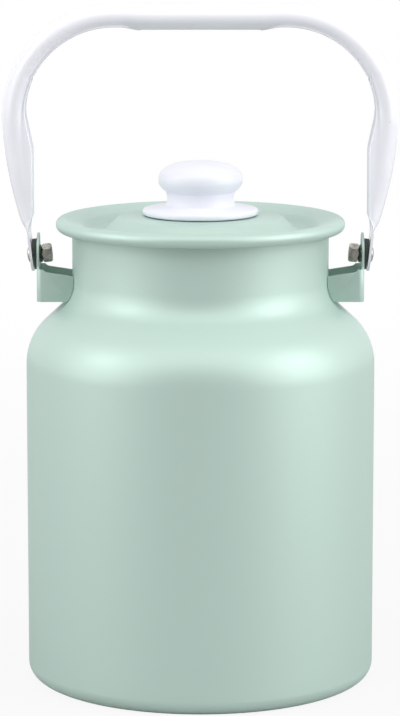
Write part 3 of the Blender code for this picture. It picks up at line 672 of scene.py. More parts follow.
def evaluated_mesh(made):
    """The object's mesh with its modifiers applied and its seams welded."""
    bpy.context.view_layer.update()
    graph = bpy.context.evaluated_depsgraph_get()
    mesh = bpy.data.meshes.new_from_object(made.evaluated_get(graph))
    work = bmesh.new()
    work.from_mesh(mesh)
    bmesh.ops.remove_doubles(work, verts=work.verts, dist=MERGE)
    work.to_mesh(mesh)
    work.free()
    return mesh


def plate(name, outline, thickness, place):
    """A flat outline, in the place's x and y, as thick as given about its plane."""
    curve = bpy.data.curves.new(name, "CURVE")
    curve.dimensions = "2D"
    curve.fill_mode = "BOTH"
    curve.extrude = thickness / 2
    spline = curve.splines.new("POLY")
    spline.points.add(len(outline) - 1)
    for point, (x, y) in zip(spline.points, outline):
        point.co = (x, y, 0, 1)
    spline.use_cyclic_u = True
    drawn = new_piece(name + "_outline", curve)
    mesh = evaluated_mesh(drawn)
    bpy.data.objects.remove(drawn)
    made = new_piece(name, mesh)
    made.matrix_world = place
    return made


def combine(made, tool, operation="DIFFERENCE"):
    """Cut a piece with a tool, or keep what both share."""
    change = made.modifiers.new(tool.name, "BOOLEAN")
    change.operation = operation
    change.object = tool


def soften(made, width, segments=2, limit=SHARP_ANGLE):
    """Round a piece's sharp edges."""
    bevel = made.modifiers.new("Edges", "BEVEL")
    bevel.width = width
    bevel.segments = segments
    bevel.limit_method = "ANGLE"
    bevel.angle_limit = limit
    bevel.use_clamp_overlap = True
    bevel.harden_normals = False


def baked_piece(made, name, tools=(), turn=0.0, sharp=SHARP_ANGLE):
    """A mesh-only piece in world place, turned about Z, without its tools."""
    mesh = evaluated_mesh(made)
    mesh.transform(Matrix.Rotation(turn, 4, "Z") @ made.matrix_world)
    for old in (made, *tools):
        bpy.data.objects.remove(old)
    mesh.shade_smooth()
    mesh.set_sharp_from_angle(angle=sharp)
    return new_piece(name, mesh)


def dress(made, body, nodes, slot, *finishes):
    """Give a piece its finishes, its body and the node it stands for; the record slot is not used."""
    made.data.materials.clear()
    for finish in finishes:
        made.data.materials.append(finish)
    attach(made, body)
    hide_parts(*nodes)


# Heights and places that follow from the sizes


class Layout:
    """Heights and radii worked out from the sizes."""

    def __init__(self, can):
        body = can.body
        lid = can.lid
        self.neck_radius = body.radius - body.shoulder_width
        self.shoulder_top = body.side_height + body.shoulder_rise
        self.mouth_height = self.shoulder_top + body.neck_rise
        self.mouth_bore = self.neck_radius - body.wall
        self.roll_centre_r = self.neck_radius + body.mouth_fold
        self.roll_radius = body.mouth_fold + body.wall
        self.lid_radius = self.neck_radius + lid.overhang
        self.ear_face = self.neck_radius + can.bracket.reach
        self.ear_middle = self.ear_face - can.bracket.sheet / 2
        self.bracket_bottom = self.shoulder_top - can.bracket.drop
        self.tab_inner_face = (self.ear_middle
                               + can.bracket.sheet / 2 / math.cos(can.pivot.lean)
                               + can.pivot.outer_washer_thickness + 2 * SEAT_GAP)

    def pivot_frame(self, can):
        """Frame of the right pivot, with its z along the bolt."""
        place = Matrix.Translation((self.ear_middle, 0, PIVOT_HEIGHT))
        return place @ Matrix.Rotation(math.pi / 2 + can.pivot.lean, 4, "Y")

    def pivot_depths(self, can):
        """Places along the bolt of the tab's inner face and the nut's seat."""
        tab_inner = (self.tab_inner_face - self.ear_middle) * math.cos(can.pivot.lean)
        ear_half = can.bracket.sheet / 2 / math.cos(can.pivot.lean)
        nut_face = -(ear_half + 2 * SEAT_GAP + can.pivot.inner_washer_thickness)
        return tab_inner, nut_face


def body_outline(can, grow=0.0):
    """Outer line of the can from the neck down to the foot ring, grown outwards."""
    body = can.body
    layout = Layout(can)
    slope = math.atan2(body.shoulder_width, body.shoulder_rise)
    lift = grow * math.tan(slope / 2)
    corners = [
        (layout.neck_radius + grow, layout.mouth_height, 0),
        (layout.neck_radius + grow, layout.shoulder_top + lift, body.neck_bend - grow),
        (body.radius + grow, body.side_height + lift, body.shoulder_radius + grow),
        (body.radius + grow, -grow, body.base_corner + grow),
        (body.radius - body.base_corner - body.foot_ring, -grow, 0),
    ]
    return rounded(corners, BEND_STEP)


def build_body(can):
    """The can in one shell, mint outside and white inside."""
    body = can.body
    layout = Layout(can)
    fold_start = math.pi - body.mouth_turn
    profile = arc((layout.roll_centre_r, layout.mouth_height), body.mouth_fold, fold_start,
                  math.pi, TIGHT_BEND_STEP)
    profile += body_outline(can)[1:]
    recess_radius = profile[-1][0] - body.recess_slope
    profile += rounded([(*profile[-1], 0), (recess_radius, body.recess, body.recess_slope),
                        (0, body.recess, 0)], BEND_STEP)[1:]
    made = turned("can_body", profile, ROUND_STEPS, wall=body.wall, inner_slot=1)
    dress(made, "can", ["body_shell"], "mint_enamel", mint_enamel(can.finishes),
          inner_enamel(can.finishes))


def build_bracket(can, name, turn):
    """A bent strap on the neck with an ear, its sheet edges softened."""
    size = can.bracket
    layout = Layout(can)
    half = size.width / 2
    inside = half - size.sheet
    bend_in = size.bend - size.sheet
    ear_back = layout.ear_face - size.sheet
    outer = rounded([(0, -half, 0), (layout.ear_face, -half, size.bend),
                     (layout.ear_face, half, size.bend), (0, half, 0)], TIGHT_BEND_STEP)
    inner = rounded([(0, inside, 0), (ear_back, inside, bend_in),
                     (ear_back, -inside, bend_in), (0, -inside, 0)], TIGHT_BEND_STEP)
    ear_top = PIVOT_HEIGHT + size.ear_radius
    over_top = ear_top + CUT_OVERRUN
    middle = (layout.bracket_bottom + ear_top) / 2
    strap = plate("strap", outer + inner, ear_top - layout.bracket_bottom,
                  Matrix.Translation((0, 0, middle)))

    outline = body_outline(can, SEAT_GAP)
    can_cut = turned("can_cut", [(0, over_top), (outline[0][0], over_top)] + outline[1:]
                     + [(0, outline[-1][1])], ROUND_STEPS)
    wall_out = layout.bracket_bottom + size.height_out
    wall_in = layout.bracket_bottom + size.height_in
    rise_end = layout.ear_face - size.bend
    axis_height = wall_in - (wall_out - wall_in) / size.reach * layout.neck_radius
    trim = rounded([(-CUT_OVERRUN, axis_height, 0), (rise_end, wall_out, size.leg_fillet),
                    (rise_end, over_top, 0), (-CUT_OVERRUN, over_top, 0)], TIGHT_BEND_STEP)
    top_cut = plate("top_cut", trim, size.width + CUT_OVERRUN, Matrix.Rotation(math.pi / 2, 4, "X"))

    beside = half + CUT_OVERRUN
    ear_foot = wall_out + size.ear_fillet / 2
    ear = arc((0, PIVOT_HEIGHT), size.ear_radius, math.pi, 0, BEND_STEP)
    left_line = rounded([(-beside, ear_foot, 0), (-size.ear_radius, ear_foot, size.ear_fillet),
                         (-size.ear_radius, PIVOT_HEIGHT, 0)], TIGHT_BEND_STEP)
    right_line = [(-y, z) for y, z in reversed(left_line)]
    around = left_line[:-1] + ear + right_line[1:] + [(beside, over_top), (-beside, over_top)]
    front_view = Matrix(((0, 0, 1, layout.ear_middle), (1, 0, 0, 0), (0, 1, 0, 0), (0, 0, 0, 1)))
    ear_cut = plate("ear_cut", around, 2 * size.bend + CUT_OVERRUN, front_view)
    hole = arc((0, PIVOT_HEIGHT), can.pivot.bolt_radius + EAR_HOLE_CLEARANCE, 0, 2 * math.pi,
               2 * math.pi / SMALL_STEPS)[:-1]
    hole_cut = plate("hole_cut", hole, CUT_OVERRUN, front_view)
    tools = (can_cut, top_cut, ear_cut, hole_cut)
    for tool in tools:
        combine(strap, hide_tool(tool))
    soften(strap, size.edge)
    made = baked_piece(strap, name + "_strap", tools, turn)
    dress(made, "can", [name], "mint_enamel", mint_enamel(can.finishes))


def lid_points(can):
    """Outer line of the lid, from the screw hole out to the end of its rolled edge."""
    lid = can.lid
    layout = Layout(can)
    offset = layout.roll_radius + SEAT_GAP + lid.wall
    seat_r = layout.roll_centre_r - offset * math.sin(lid.brim_angle)
    seat_z = layout.mouth_height + offset * math.cos(lid.brim_angle)
    roll_r = layout.lid_radius - lid.roll_radius
    run = roll_r - lid.roll_radius * math.sin(lid.brim_angle) - seat_r
    roll_z = seat_z + run * math.tan(lid.brim_angle) - lid.roll_radius * math.cos(lid.brim_angle)
    gutter = roll_z + lid.roll_radius - lid.gutter_depth
    dome = gutter + lid.dome_rise
    wall_top = layout.mouth_bore - lid.mouth_clearance
    wall_foot = wall_top - lid.gutter_wall
    dome_foot = wall_foot - lid.gutter_floor
    brim_low = seat_z - (seat_r - wall_top) * math.tan(lid.brim_angle)
    edge = arc((roll_r, roll_z), lid.roll_radius, math.pi / 2 + lid.brim_angle, lid.roll_end,
               LID_ROLL_STEP)
    corners = [
        (can.pivot.screw_radius + BOLT_HOLE_CLEARANCE, dome + lid.seat_rise, 0),
        (can.knob.flange_radius + lid.seat_margin, dome + lid.seat_rise, lid.dome_bend),
        (dome_foot - lid.dome_slope, dome, lid.dome_bend),
        (dome_foot, gutter, lid.gutter_bend),
        (wall_foot, gutter, lid.gutter_bend),
        (wall_top, brim_low, lid.gutter_bend),
        (*edge[0], 0),
    ]
    return rounded(corners, LID_BEND_STEP) + edge[1:]


def build_lid(can):
    """The lid in one shell, mint on top and white below."""
    made = turned("lid_pressing", lid_points(can), ROUND_STEPS, wall=can.lid.wall, inner_slot=1)
    dress(made, "lid", ["lid_shell"], "mint_enamel", mint_enamel(can.finishes),
          inner_enamel(can.finishes))


def build_knob(can):
    """The moulded knob."""
    size = can.knob
    crown_steps = 18
    undercut_steps = 9
    neck_steps = 8
    foot = KNOB_BOX[0].z
    share_of = 2 / size.crown_power
    profile = []
    for i in range(crown_steps + 1):
        turn = math.pi / 2 * i / crown_steps
        crown = size.cap_crown * max(0.0, math.cos(turn)) ** share_of
        profile.append((size.cap_radius * math.sin(turn) ** share_of, size.cap_height + crown))
    undercut_end = math.acos(size.neck_radius / size.cap_radius)
    for i in range(1, undercut_steps + 1):
        turn = undercut_end * i / undercut_steps
        profile.append((size.cap_radius * math.cos(turn),
                        size.cap_height - size.cap_undercut * math.sin(turn)))
    neck_top = profile[-1][1]
    neck_foot = size.flange_edge + size.flange_rise
    for i in range(1, neck_steps):
        part = i / neck_steps
        profile.append((size.neck_radius - size.waist_depth * math.sin(math.pi * part),
                        neck_top + (neck_foot - neck_top) * part))
    bore = INSERT_BOX[1].x + SEAT_GAP
    profile += rounded([
        (*profile[-1], 0),
        (size.neck_radius, neck_foot, size.neck_fillet),
        (size.flange_radius, size.flange_edge, size.flange_rounding),
        (size.flange_radius, 0, size.flange_rounding),
        (bore, 0, 0),
    ], TIGHT_BEND_STEP)[1:]
    bore_top = INSERT_BOX[1].z - INSERT_BOX[0].z + SEAT_GAP
    profile += [(bore, bore_top), (0, bore_top)]
    made = turned("knob_moulding", [(r, foot + z) for r, z in profile], KNOB_STEPS)
    piece = baked_piece(made, "knob_moulding")
    dress(piece, "lid", ["knob"], "white_plastic", knob_plastic(can.finishes))


def slot_tool(can, head_radius, place):
    """A bar that cuts a driver slot into a head's face."""
    mesh = bpy.data.meshes.new("slot_tool")
    work = bmesh.new()
    bmesh.ops.create_cube(work, size=1)
    size = (2 * head_radius + CUT_OVERRUN, can.pivot.slot_width, 2 * can.pivot.slot_depth)
    bmesh.ops.scale(work, vec=size, verts=work.verts)
    work.to_mesh(mesh)
    work.free()
    made = hide_tool(new_piece("slot_tool", mesh))
    made.matrix_world = place
    return made


def build_knob_fixings(can):
    """Threaded insert, washer and slotted screw below the knob."""
    look = can.finishes
    size = can.pivot
    bore = size.screw_radius + SEAT_GAP
    low, high = INSERT_BOX[0].z, INSERT_BOX[1].z
    knurl = insert_profile(bore, INSERT_BOX[1].x, low, high)
    insert = baked_piece(turned("insert", knurl, SMALL_STEPS, closed=True), "threaded_insert")
    dress(insert, "lid", ["knob_insert"], "brass", turned_brass(look))

    radius = SCREW_WASHER_BOX[1].x
    low, high = SCREW_WASHER_BOX[0].z, SCREW_WASHER_BOX[1].z
    hole = size.screw_radius + BOLT_HOLE_CLEARANCE
    ring = [(hole, high), (radius, high), (radius, low), (hole, low)]
    washer = turned("ring", ring, SMALL_STEPS, closed=True)
    soften(washer, (high - low) * SCREW_WASHER_EDGE_SHARE)
    washer = baked_piece(washer, "screw_washer")
    dress(washer, "lid", ["knob_screw_washer"], "zinc_plated_steel", zinc_plate(look))

    head = SCREW_BOX[1].x
    head_low = SCREW_BOX[0].z
    head_top = low - SEAT_GAP
    end = SCREW_BOX[1].z
    profile = [(0, end)] + thread_profile(can, size.screw_radius, end, head_top)
    profile += rounded([(size.screw_radius, head_top, 0), (head, head_top, 0),
                        (head, head_low, size.screw_head_rounding), (0, head_low, 0)],
                       TIGHT_BEND_STEP)
    screw = turned("screw", profile, SMALL_STEPS)
    tool = slot_tool(can, head, Matrix.Translation((0, 0, head_low)))
    combine(screw, tool)
    screw = baked_piece(screw, "slotted_screw", (tool,))
    dress(screw, "lid", ["knob_screw"], "zinc_plated_steel", zinc_plate(look))


def insert_profile(bore, radius, low, high):
    """Closed profile of the insert, with two grooves around it."""
    groove = (radius - bore) * GROOVE_DEPTH_SHARE
    tall = high - low
    outside = [(radius, high)]
    half = tall * GROOVE_HALF_WIDTH_SHARE
    for part in GROOVE_PLACES:
        middle = low + tall * part
        outside += [(radius, middle + half), (radius - groove, middle + half / 2),
                    (radius - groove, middle - half / 2), (radius, middle - half)]
    return [(bore, high)] + outside + [(radius, low), (bore, low)]


def thread_profile(can, radius, top, bottom):
    """Outer line of a threaded stretch, from its chamfered end to a plain root."""
    pitch = can.pivot.thread_pitch
    depth = can.pivot.thread_depth
    line = [(radius - 2 * depth, top), (radius - depth, top - depth)]
    count = max(1, int((abs(top - bottom) - pitch) / pitch))
    way = -1 if top > bottom else 1
    start = top + way * depth
    for i in range(count):
        crest = start + way * pitch * (i + 0.5)
        root = start + way * pitch * (i + 1)
        line += [(radius, crest), (radius - depth, root)]
    return line


def build_bolt(can):
    """Low round-headed bolt with a slot and a threaded end, on the right pivot."""
    size = can.pivot
    layout = Layout(can)
    tab_inner, nut_face = layout.pivot_depths(can)
    head_seat = tab_inner + can.bail.sheet + SEAT_GAP
    bolt_end = nut_face - size.nut_length + SEAT_GAP
    dome_steps = 10
    profile = []
    for i in range(dome_steps + 1):
        turn = math.pi / 2 * i / dome_steps
        profile.append((size.head_radius * math.sin(turn),
                        head_seat + size.head_height * math.cos(turn)))
    shank = [(size.bolt_radius, head_seat), (size.bolt_radius, 0)]
    thread = thread_profile(can, size.bolt_radius, bolt_end, 0)
    bolt = turned("bolt", profile + shank + thread[::-1] + [(0, bolt_end)], SMALL_STEPS)
    bolt.matrix_world = layout.pivot_frame(can)
    head_top = Matrix.Translation((0, 0, head_seat + size.head_height))
    tool = slot_tool(can, size.head_radius, layout.pivot_frame(can) @ head_top)
    combine(bolt, tool)
    return bolt, (tool,)


def build_washer(can, radius, near, far, ear_side):
    """A wedge-shaped ring on the right pivot, cut flat where it lies on the ear."""
    layout = Layout(can)
    hole = can.pivot.bolt_radius + BOLT_HOLE_CLEARANCE
    ring = [(hole, near), (radius, near), (radius, far), (hole, far)]
    made = turned("ring", ring, SMALL_STEPS, closed=True)
    made.matrix_world = layout.pivot_frame(can)
    size = 2 * radius + CUT_OVERRUN
    mesh = bpy.data.meshes.new("ear_side")
    work = bmesh.new()
    bmesh.ops.create_cube(work, size=size)
    work.to_mesh(mesh)
    work.free()
    block = hide_tool(new_piece("ear_side", mesh))
    face = layout.ear_middle + ear_side * (can.bracket.sheet / 2 + SEAT_GAP)
    block.location = (face - ear_side * size / 2, 0, PIVOT_HEIGHT)
    combine(made, block)
    soften(made, WASHER_EDGE)
    return made, (block,)


def build_nut(can):
    """Hexagon nut with chamfered ends, a corner up."""
    size = can.pivot
    layout = Layout(can)
    nut_face = layout.pivot_depths(can)[1]
    place = layout.pivot_frame(can)
    corner = size.nut_across_flats / 2 / math.cos(math.pi / 6)
    hexagon = [(corner * math.cos(math.pi / 3 * i), corner * math.sin(math.pi / 3 * i))
               for i in range(6)]
    middle = Matrix.Translation((0, 0, nut_face - size.nut_length / 2))
    prism = plate("prism", hexagon, size.nut_length, place @ middle)
    far = nut_face - size.nut_length
    end_radius = size.nut_across_flats / 2
    bore = size.bolt_radius + SEAT_GAP
    chamfer = size.nut_chamfer
    barrel = turned("barrel", [
        (bore, nut_face - chamfer / 2), (bore + chamfer / 2, nut_face), (end_radius, nut_face),
        (corner, nut_face - chamfer), (corner, far + chamfer), (end_radius, far),
        (bore + chamfer / 2, far), (bore, far + chamfer / 2)], SMALL_STEPS, closed=True)
    barrel.matrix_world = place
    combine(prism, hide_tool(barrel), "INTERSECT")
    soften(prism, NUT_EDGE)
    return prism, (barrel,)


def build_pivots(can):
    """Bolt, washers and nut of both pivots; the left set is the right one turned half round."""
    look = can.finishes
    size = can.pivot
    tab_inner, nut_face = Layout(can).pivot_depths(can)
    # The washers' dark colour also paints the shade in the gaps on both sides of the ears.
    kinds = {
        "pivot_bolt": (build_bolt, (), "zinc_plated_steel", zinc_plate(look)),
        "outer_washer": (build_washer, (size.outer_washer_radius, tab_inner - SEAT_GAP,
                                        -size.outer_washer_radius, 1),
                         "dark_rubber", washer_rubber(look)),
        "inner_washer": (build_washer, (size.inner_washer_radius, size.inner_washer_radius,
                                        nut_face + SEAT_GAP, -1),
                         "dark_rubber", washer_rubber(look)),
        "nut": (build_nut, (), "zinc_plated_steel", zinc_plate(look)),
    }
    for kind, (build, values, slot, finish) in kinds.items():
        for hand, turn in (("right", 0.0), ("left", math.pi)):
            made, tools = build(can, *values)
            piece = baked_piece(made, hand + "_" + kind + "_piece", tools, turn)
            dress(piece, "bail", [hand + "_" + kind], slot, finish)


def bail_path(can):
    """Outer line of the bail's right half, from the top down, as (x, z) about the pivots."""
    size = can.bail
    layout = Layout(can)
    lean = can.pivot.lean

    def down(turn):
        return (-math.sin(turn), -math.cos(turn))

    top_height = BAIL_BOX[1].z - PIVOT_HEIGHT
    widest = layout.ear_face + size.spread
    centre = (widest - size.corner_radius, top_height - size.corner_radius)
    blend_end = size.grip_half_length + size.grip_blend
    top = [(size.grip_half_length * i / GRIP_STEPS, top_height) for i in range(GRIP_STEPS)]
    top += [(mix(size.grip_half_length, blend_end, i / GRIP_BLEND_STEPS), top_height)
            for i in range(GRIP_BLEND_STEPS + 1)]
    top = [point for point in top if point[0] < centre[0] - MERGE]
    corner = arc(centre, size.corner_radius, math.pi / 2, -size.corner_overturn,
                 FINE_BEND_STEP)
    tab_face = layout.tab_inner_face + size.sheet / math.cos(lean)
    arm_end = (tab_face + size.arm_end_rise * math.tan(lean) + size.arm_end_offset,
               size.arm_end_rise)
    arm = hermite(corner[-1], down(size.corner_overturn), arm_end, down(size.arm_end_lean),
                  ARM_STEPS)
    tab_top = (tab_face + size.tab_top_rise * math.tan(lean), size.tab_top_rise)
    foot = hermite(arm_end, down(size.arm_end_lean), tab_top, down(lean), ARM_FOOT_STEPS)
    tab = []
    for i in range(1, TAB_STEPS + 1):
        rise = size.tab_top_rise * (1 - i / TAB_STEPS)
        tab.append((tab_face + rise * math.tan(lean), rise))
    for i in range(1, TAB_END_STEPS + 1):
        below = size.tab_radius * math.sin(TAB_END_TURN * i / TAB_END_STEPS)
        tab.append((tab_face - below * math.sin(lean), -below * math.cos(lean)))
    return top, corner, arm, foot, tab


def bail_section(can, depth, half_width, close, lip_share, flat):
    """Closed outline of the pressed sheet: (inward, sideways) points, outside then inside."""
    size = can.bail
    oval_steps = 14
    lip_steps = 4
    lip = lip_share * depth
    round_depth = (depth - lip) / (1 - math.cos(close))
    half = []
    for i in range(oval_steps + 1):
        turn = close * i / oval_steps
        half.append((round_depth * (1 - math.cos(turn)), half_width * math.sin(turn)))
    start = half[-1]
    for i in range(1, lip_steps + 1):
        part = i / lip_steps
        half.append((mix(start[0], depth, part), start[1] + size.lip_flare * lip * part * part))
    count = len(half) - 1
    half = [(mix(inward, 0, flat), mix(sideways, half_width * i / count, flat))
            for i, (inward, sideways) in enumerate(half)]
    outside = [(inward, -sideways) for inward, sideways in reversed(half)] + half[1:]
    inside = []
    last = len(outside) - 1
    for i, point in enumerate(outside):
        before = Vector(outside[max(0, i - 1)])
        after = Vector(outside[min(last, i + 1)])
        along = (after - before).normalized()
        inside.append((point[0] + size.sheet * along.y, point[1] - size.sheet * along.x))
    return outside + inside[::-1]


def bail_rings(can):
    """World-sized sections of the bail's right half, from the middle of the grip to the tab."""
    size = can.bail
    layout = Layout(can)
    top, corner, arm, foot, tab = bail_path(can)
    path = [Vector(point) for point in top + corner + arm + foot + tab]
    arm_from = len(top) + len(corner) - len(corner) // 3
    arm_start_height = corner[-1][1]
    rings = []
    for i, point in enumerate(path):
        before = path[max(0, i - 1)]
        after = path[min(len(path) - 1, i + 1)]
        along = Vector((1, 0)) if i == 0 else (after - before).normalized()
        inward = Vector((along.y, -along.x))
        opened = 1.0
        if i < len(top):
            opened = smooth(point.x, size.grip_half_length, size.grip_half_length + size.grip_blend)
        depth = mix(size.grip_depth, size.corner_depth, opened)
        half_width = mix(size.grip_half_width, size.corner_half_width, opened)
        close = mix(size.grip_close, size.corner_close, opened)
        lip_share = mix(0.0, size.corner_lip, opened)
        flat = 0.0
        if i >= arm_from:
            fall = 1 - point.y / arm_start_height
            in_arm = smooth(fall, *ARM_BLEND_SHARES)
            low = smooth(fall, *ARM_NARROWING_SHARES)
            room = (point.x - layout.tab_inner_face) / max(-inward.x, MERGE)
            depth = min(mix(size.corner_depth, size.arm_depth, in_arm), room)
            half_width = mix(size.corner_half_width, size.arm_half_width, in_arm)
            half_width = mix(half_width, size.tab_radius, low)
            close = mix(mix(size.corner_close, size.arm_close, in_arm), size.arm_low_close, low)
            lip_share = mix(size.corner_lip, size.arm_lip, in_arm)
            flat = smooth(-point.y, -size.arm_end_rise, -size.tab_top_rise)
        if point.y < 0:
            below = point.y / math.cos(can.pivot.lean)
            half_width = math.sqrt(max(0.0, size.tab_radius ** 2 - below ** 2))
        section = bail_section(can, depth, half_width, close, lip_share, flat)
        rings.append([(point.x + inward.x * u, v, PIVOT_HEIGHT + point.y + inward.y * u)
                      for u, v in section])
    return rings


def build_bail(can):
    """The bail: one half lofted through its sections, mirrored, bored and softened."""
    size = can.bail
    work = bmesh.new()
    loops = [[work.verts.new(co) for co in ring] for ring in bail_rings(can)]
    count = len(loops[0])
    for first, second in zip(loops, loops[1:]):
        for i in range(count):
            j = (i + 1) % count
            work.faces.new((first[i], second[i], second[j], first[j]))
    end = loops[-1]
    for i in range(count // 2 - 1):
        work.faces.new((end[i], end[count - 1 - i], end[count - 2 - i], end[i + 1]))
    bmesh.ops.recalc_face_normals(work, faces=work.faces)
    mesh = bpy.data.meshes.new("bail")
    work.to_mesh(mesh)
    work.free()
    bail = new_piece("bail", mesh)
    mirror = bail.modifiers.new("Other half", "MIRROR")
    mirror.use_axis[0] = True
    mirror.merge_threshold = MERGE
    layout = Layout(can)
    hole = arc((0, 0), can.pivot.bolt_radius + BOLT_HOLE_CLEARANCE, 0, 2 * math.pi,
               2 * math.pi / SMALL_STEPS)[:-1]
    tools = []
    for side, turn in (("right", 0.0), ("left", math.pi)):
        place = Matrix.Rotation(turn, 4, "Z") @ layout.pivot_frame(can)
        place = place @ Matrix.Translation((0, 0, layout.pivot_depths(can)[0]))
        tools.append(hide_tool(plate("hole_" + side, hole, CUT_OVERRUN, place)))
        combine(bail, tools[-1])
    soften(bail, size.edge, limit=BAIL_SHARP_ANGLE)
    made = baked_piece(bail, "bail_pressing", tools, sharp=BAIL_SHARP_ANGLE)
    dress(made, "bail", ["bail_handle"], "white_enamel", handle_enamel(can.finishes))


# Studio


def build_floor(studio):
    """A pale floor that fades into the white surround and keeps the can's shadow."""
    mesh = bpy.data.meshes.new("floor")
    work = bmesh.new()
    bmesh.ops.create_circle(work, cap_ends=True, radius=studio.floor_radius, segments=FLOOR_STEPS)
    work.to_mesh(mesh)
    work.free()
    floor = new_piece("studio_floor", mesh)
    finish = Finish("pale_floor", (studio.floor_shade,) * 3, roughness=0.9)
    finish.feed(finish.shader.inputs["Specular IOR Level"], 0.0)
    far = finish.add("ShaderNodeVectorMath", {"operation": "LENGTH"}, {0: finish.place()}, "Value")
    seen = finish.add("ShaderNodeLightPath", output="Is Camera Ray")
    white = finish.add("ShaderNodeEmission", {}, {"Color": (1.0, 1.0, 1.0, 1.0), "Strength": 1.0})
    fade = finish.between(far, FADE_SHARES[0] * studio.floor_radius,
                          FADE_SHARES[1] * studio.floor_radius)
    cover = (studio.floor_white + fade * (1.0 - studio.floor_white)) * seen
    lit = Wire(finish, finish.shader.outputs[0])
    finish.feed(finish.tree.nodes["Material Output"].inputs["Surface"],
                finish.add("ShaderNodeMixShader", {}, {0: cover, 1: lit, 2: white}))
    floor.data.materials.append(finish.material)


def build_sky(studio):
    """Light that is strong from the sides; the camera sees white, as gloss does behind the can."""
    world = bpy.data.worlds.new("studio_sky")
    bpy.context.scene.world = world
    sky = Graph(world)
    way = sky.add("ShaderNodeTexCoord", output="Generated")
    rightward, depth, height = (sky.add("ShaderNodeSeparateXYZ", {}, {0: way}, axis) for axis in "XYZ")
    in_front = 1.0 - sky.between(depth, *FRONT_DEPTHS)
    behind = sky.between(depth, *BACK_DEPTHS)
    level = (studio.sides + in_front * (studio.front - studio.sides)
             + behind * (studio.back - studio.sides)) * (1.0 + rightward * studio.right_lean)
    top = studio.above * (1.0 - depth * studio.front_lean)
    light = level + sky.between(height, *TOP_HEIGHTS) * (top - level)
    seen = sky.add("ShaderNodeLightPath", output="Is Camera Ray")
    in_gloss = sky.add("ShaderNodeLightPath", output="Is Glossy Ray")
    in_glass = sky.add("ShaderNodeLightPath", output="Is Transmission Ray")
    white = seen + (in_gloss + in_glass) * behind
    background = sky.tree.nodes["Background"]
    sky.feed(background.inputs["Color"], (1.0, 1.0, 1.0, 1.0))
    sky.feed(background.inputs["Strength"], light + white * (1.0 - light))


def build_lamp(name, place, target, width, height, power):
    """A soft rectangular lamp that faces a point."""
    light = bpy.data.lights.new(name, "AREA")
    light.shape = "RECTANGLE"
    light.size = width
    light.size_y = height
    light.energy = power
    lamp = new_piece(name, light)
    lamp.location = place
    lamp.rotation_euler = (Vector(target) - Vector(place)).to_track_quat("-Z", "Y").to_euler()


def build_camera(studio):
    """The camera at the photograph's place."""
    camera = bpy.data.cameras.new("view_camera")
    camera.lens = studio.camera_lens
    camera.sensor_width = SENSOR_WIDTH
    camera.clip_start = NEAREST
    camera.clip_end = FARTHEST
    made = new_piece("view_camera", camera)
    made.location = (studio.camera_side, -studio.camera_distance, studio.camera_height)
    made.rotation_euler = (math.pi / 2 - studio.camera_pitch, 0, 0)
    bpy.context.scene.camera = made


def build_studio(can):
    """Floor, sky, lamps and camera."""
    studio = can.studio
    build_floor(studio)
    build_sky(studio)
    target = Vector((0, 0, PIVOT_HEIGHT))
    for name, turn, power in (("right_softbox", studio.lamp_turn, studio.right_lamp),
                              ("left_softbox", -studio.lamp_turn, studio.left_lamp)):
        aim = Matrix.Rotation(turn, 4, "Z") @ Matrix.Rotation(-studio.lamp_rise, 4, "X")
        place = target + aim @ Vector((0, -studio.lamp_distance, 0))
        build_lamp(name, place, target, studio.lamp_size, studio.lamp_size, power)
    build_camera(studio)
    bpy.context.scene.view_settings.view_transform = "Standard"


# Operators


class MILKCAN_OT_body(Operator):
    """Build the can's body, mint outside and white inside"""

    bl_idname = "milk_can.body"
    bl_label = "Body"

    def execute(self, context):
        build_body(context.scene.milk_can)
        return {"FINISHED"}


class MILKCAN_OT_brackets(Operator):
    """Build both handle brackets"""

    bl_idname = "milk_can.brackets"
    bl_label = "Brackets"

    def execute(self, context):
        build_bracket(context.scene.milk_can, "right_bracket", 0.0)
        build_bracket(context.scene.milk_can, "left_bracket", math.pi)
        return {"FINISHED"}


class MILKCAN_OT_lid(Operator):
    """Build the pressed lid"""

    bl_idname = "milk_can.lid"
    bl_label = "Lid"

    def execute(self, context):
        build_lid(context.scene.milk_can)
        return {"FINISHED"}


class MILKCAN_OT_knob(Operator):
    """Build the white knob"""

    bl_idname = "milk_can.knob"
    bl_label = "Knob"

    def execute(self, context):
        build_knob(context.scene.milk_can)
        return {"FINISHED"}


class MILKCAN_OT_knob_fixings(Operator):
    """Build the knob's insert, washer and screw"""

    bl_idname = "milk_can.knob_fixings"
    bl_label = "Knob Fixings"

    def execute(self, context):
        build_knob_fixings(context.scene.milk_can)
        return {"FINISHED"}


class MILKCAN_OT_bail(Operator):
    """Build the white bail handle"""

    bl_idname = "milk_can.bail"
    bl_label = "Bail Handle"

    def execute(self, context):
        build_bail(context.scene.milk_can)
        return {"FINISHED"}


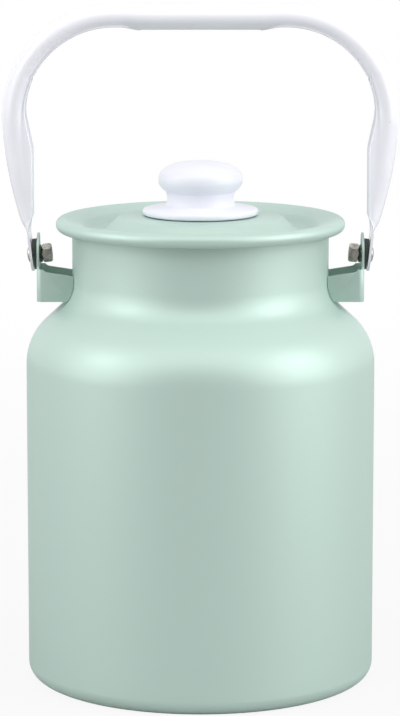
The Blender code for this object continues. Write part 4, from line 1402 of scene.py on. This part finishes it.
class MILKCAN_OT_pivots(Operator):
    """Build the bolts, washers and nuts of both pivots"""

    bl_idname = "milk_can.pivots"
    bl_label = "Pivots"

    def execute(self, context):
        build_pivots(context.scene.milk_can)
        return {"FINISHED"}


class MILKCAN_OT_studio(Operator):
    """Build the floor, the sky, the lamps and the camera"""

    bl_idname = "milk_can.studio"
    bl_label = "Studio"

    def execute(self, context):
        build_studio(context.scene.milk_can)
        return {"FINISHED"}


class MILKCAN_PT_sidebar(Panel):
    """Sizes, colours and the pieces to build"""

    bl_label = "Milk Can"
    bl_idname = "MILKCAN_PT_sidebar"
    bl_space_type = "VIEW_3D"
    bl_region_type = "UI"
    bl_category = "Milk Can"

    def draw(self, context):
        can = context.scene.milk_can
        for operator in OPERATORS:
            self.layout.operator(operator.bl_idname)
        for group in (can.body, can.lid, can.knob, can.bracket, can.pivot, can.bail,
                      can.finishes, can.studio):
            box = self.layout.box()
            for name in group.bl_rna.properties.keys():
                if name not in {"rna_type", "name"}:
                    box.prop(group, name)


OPERATORS = (MILKCAN_OT_body, MILKCAN_OT_brackets, MILKCAN_OT_lid, MILKCAN_OT_knob,
             MILKCAN_OT_knob_fixings, MILKCAN_OT_bail, MILKCAN_OT_pivots, MILKCAN_OT_studio)
GROUPS = (BodySizes, LidSizes, KnobSizes, BracketSizes, PivotSizes, BailSizes, Finishes, Studio,
          MilkCan)


def register():
    """Register the classes and the can's settings."""
    for kind in (*GROUPS, *OPERATORS, MILKCAN_PT_sidebar):
        bpy.utils.register_class(kind)
    bpy.types.Scene.milk_can = PointerProperty(type=MilkCan)


def unregister():
    """Take the settings and the classes away again."""
    del bpy.types.Scene.milk_can
    for kind in reversed((*GROUPS, *OPERATORS, MILKCAN_PT_sidebar)):
        bpy.utils.unregister_class(kind)


def main():
    register()
    bpy.ops.milk_can.body()
    bpy.ops.milk_can.brackets()
    bpy.ops.milk_can.lid()
    bpy.ops.milk_can.knob()
    bpy.ops.milk_can.knob_fixings()
    bpy.ops.milk_can.bail()
    bpy.ops.milk_can.pivots()
    bpy.ops.milk_can.studio()


if __name__ == "__main__":
    main()
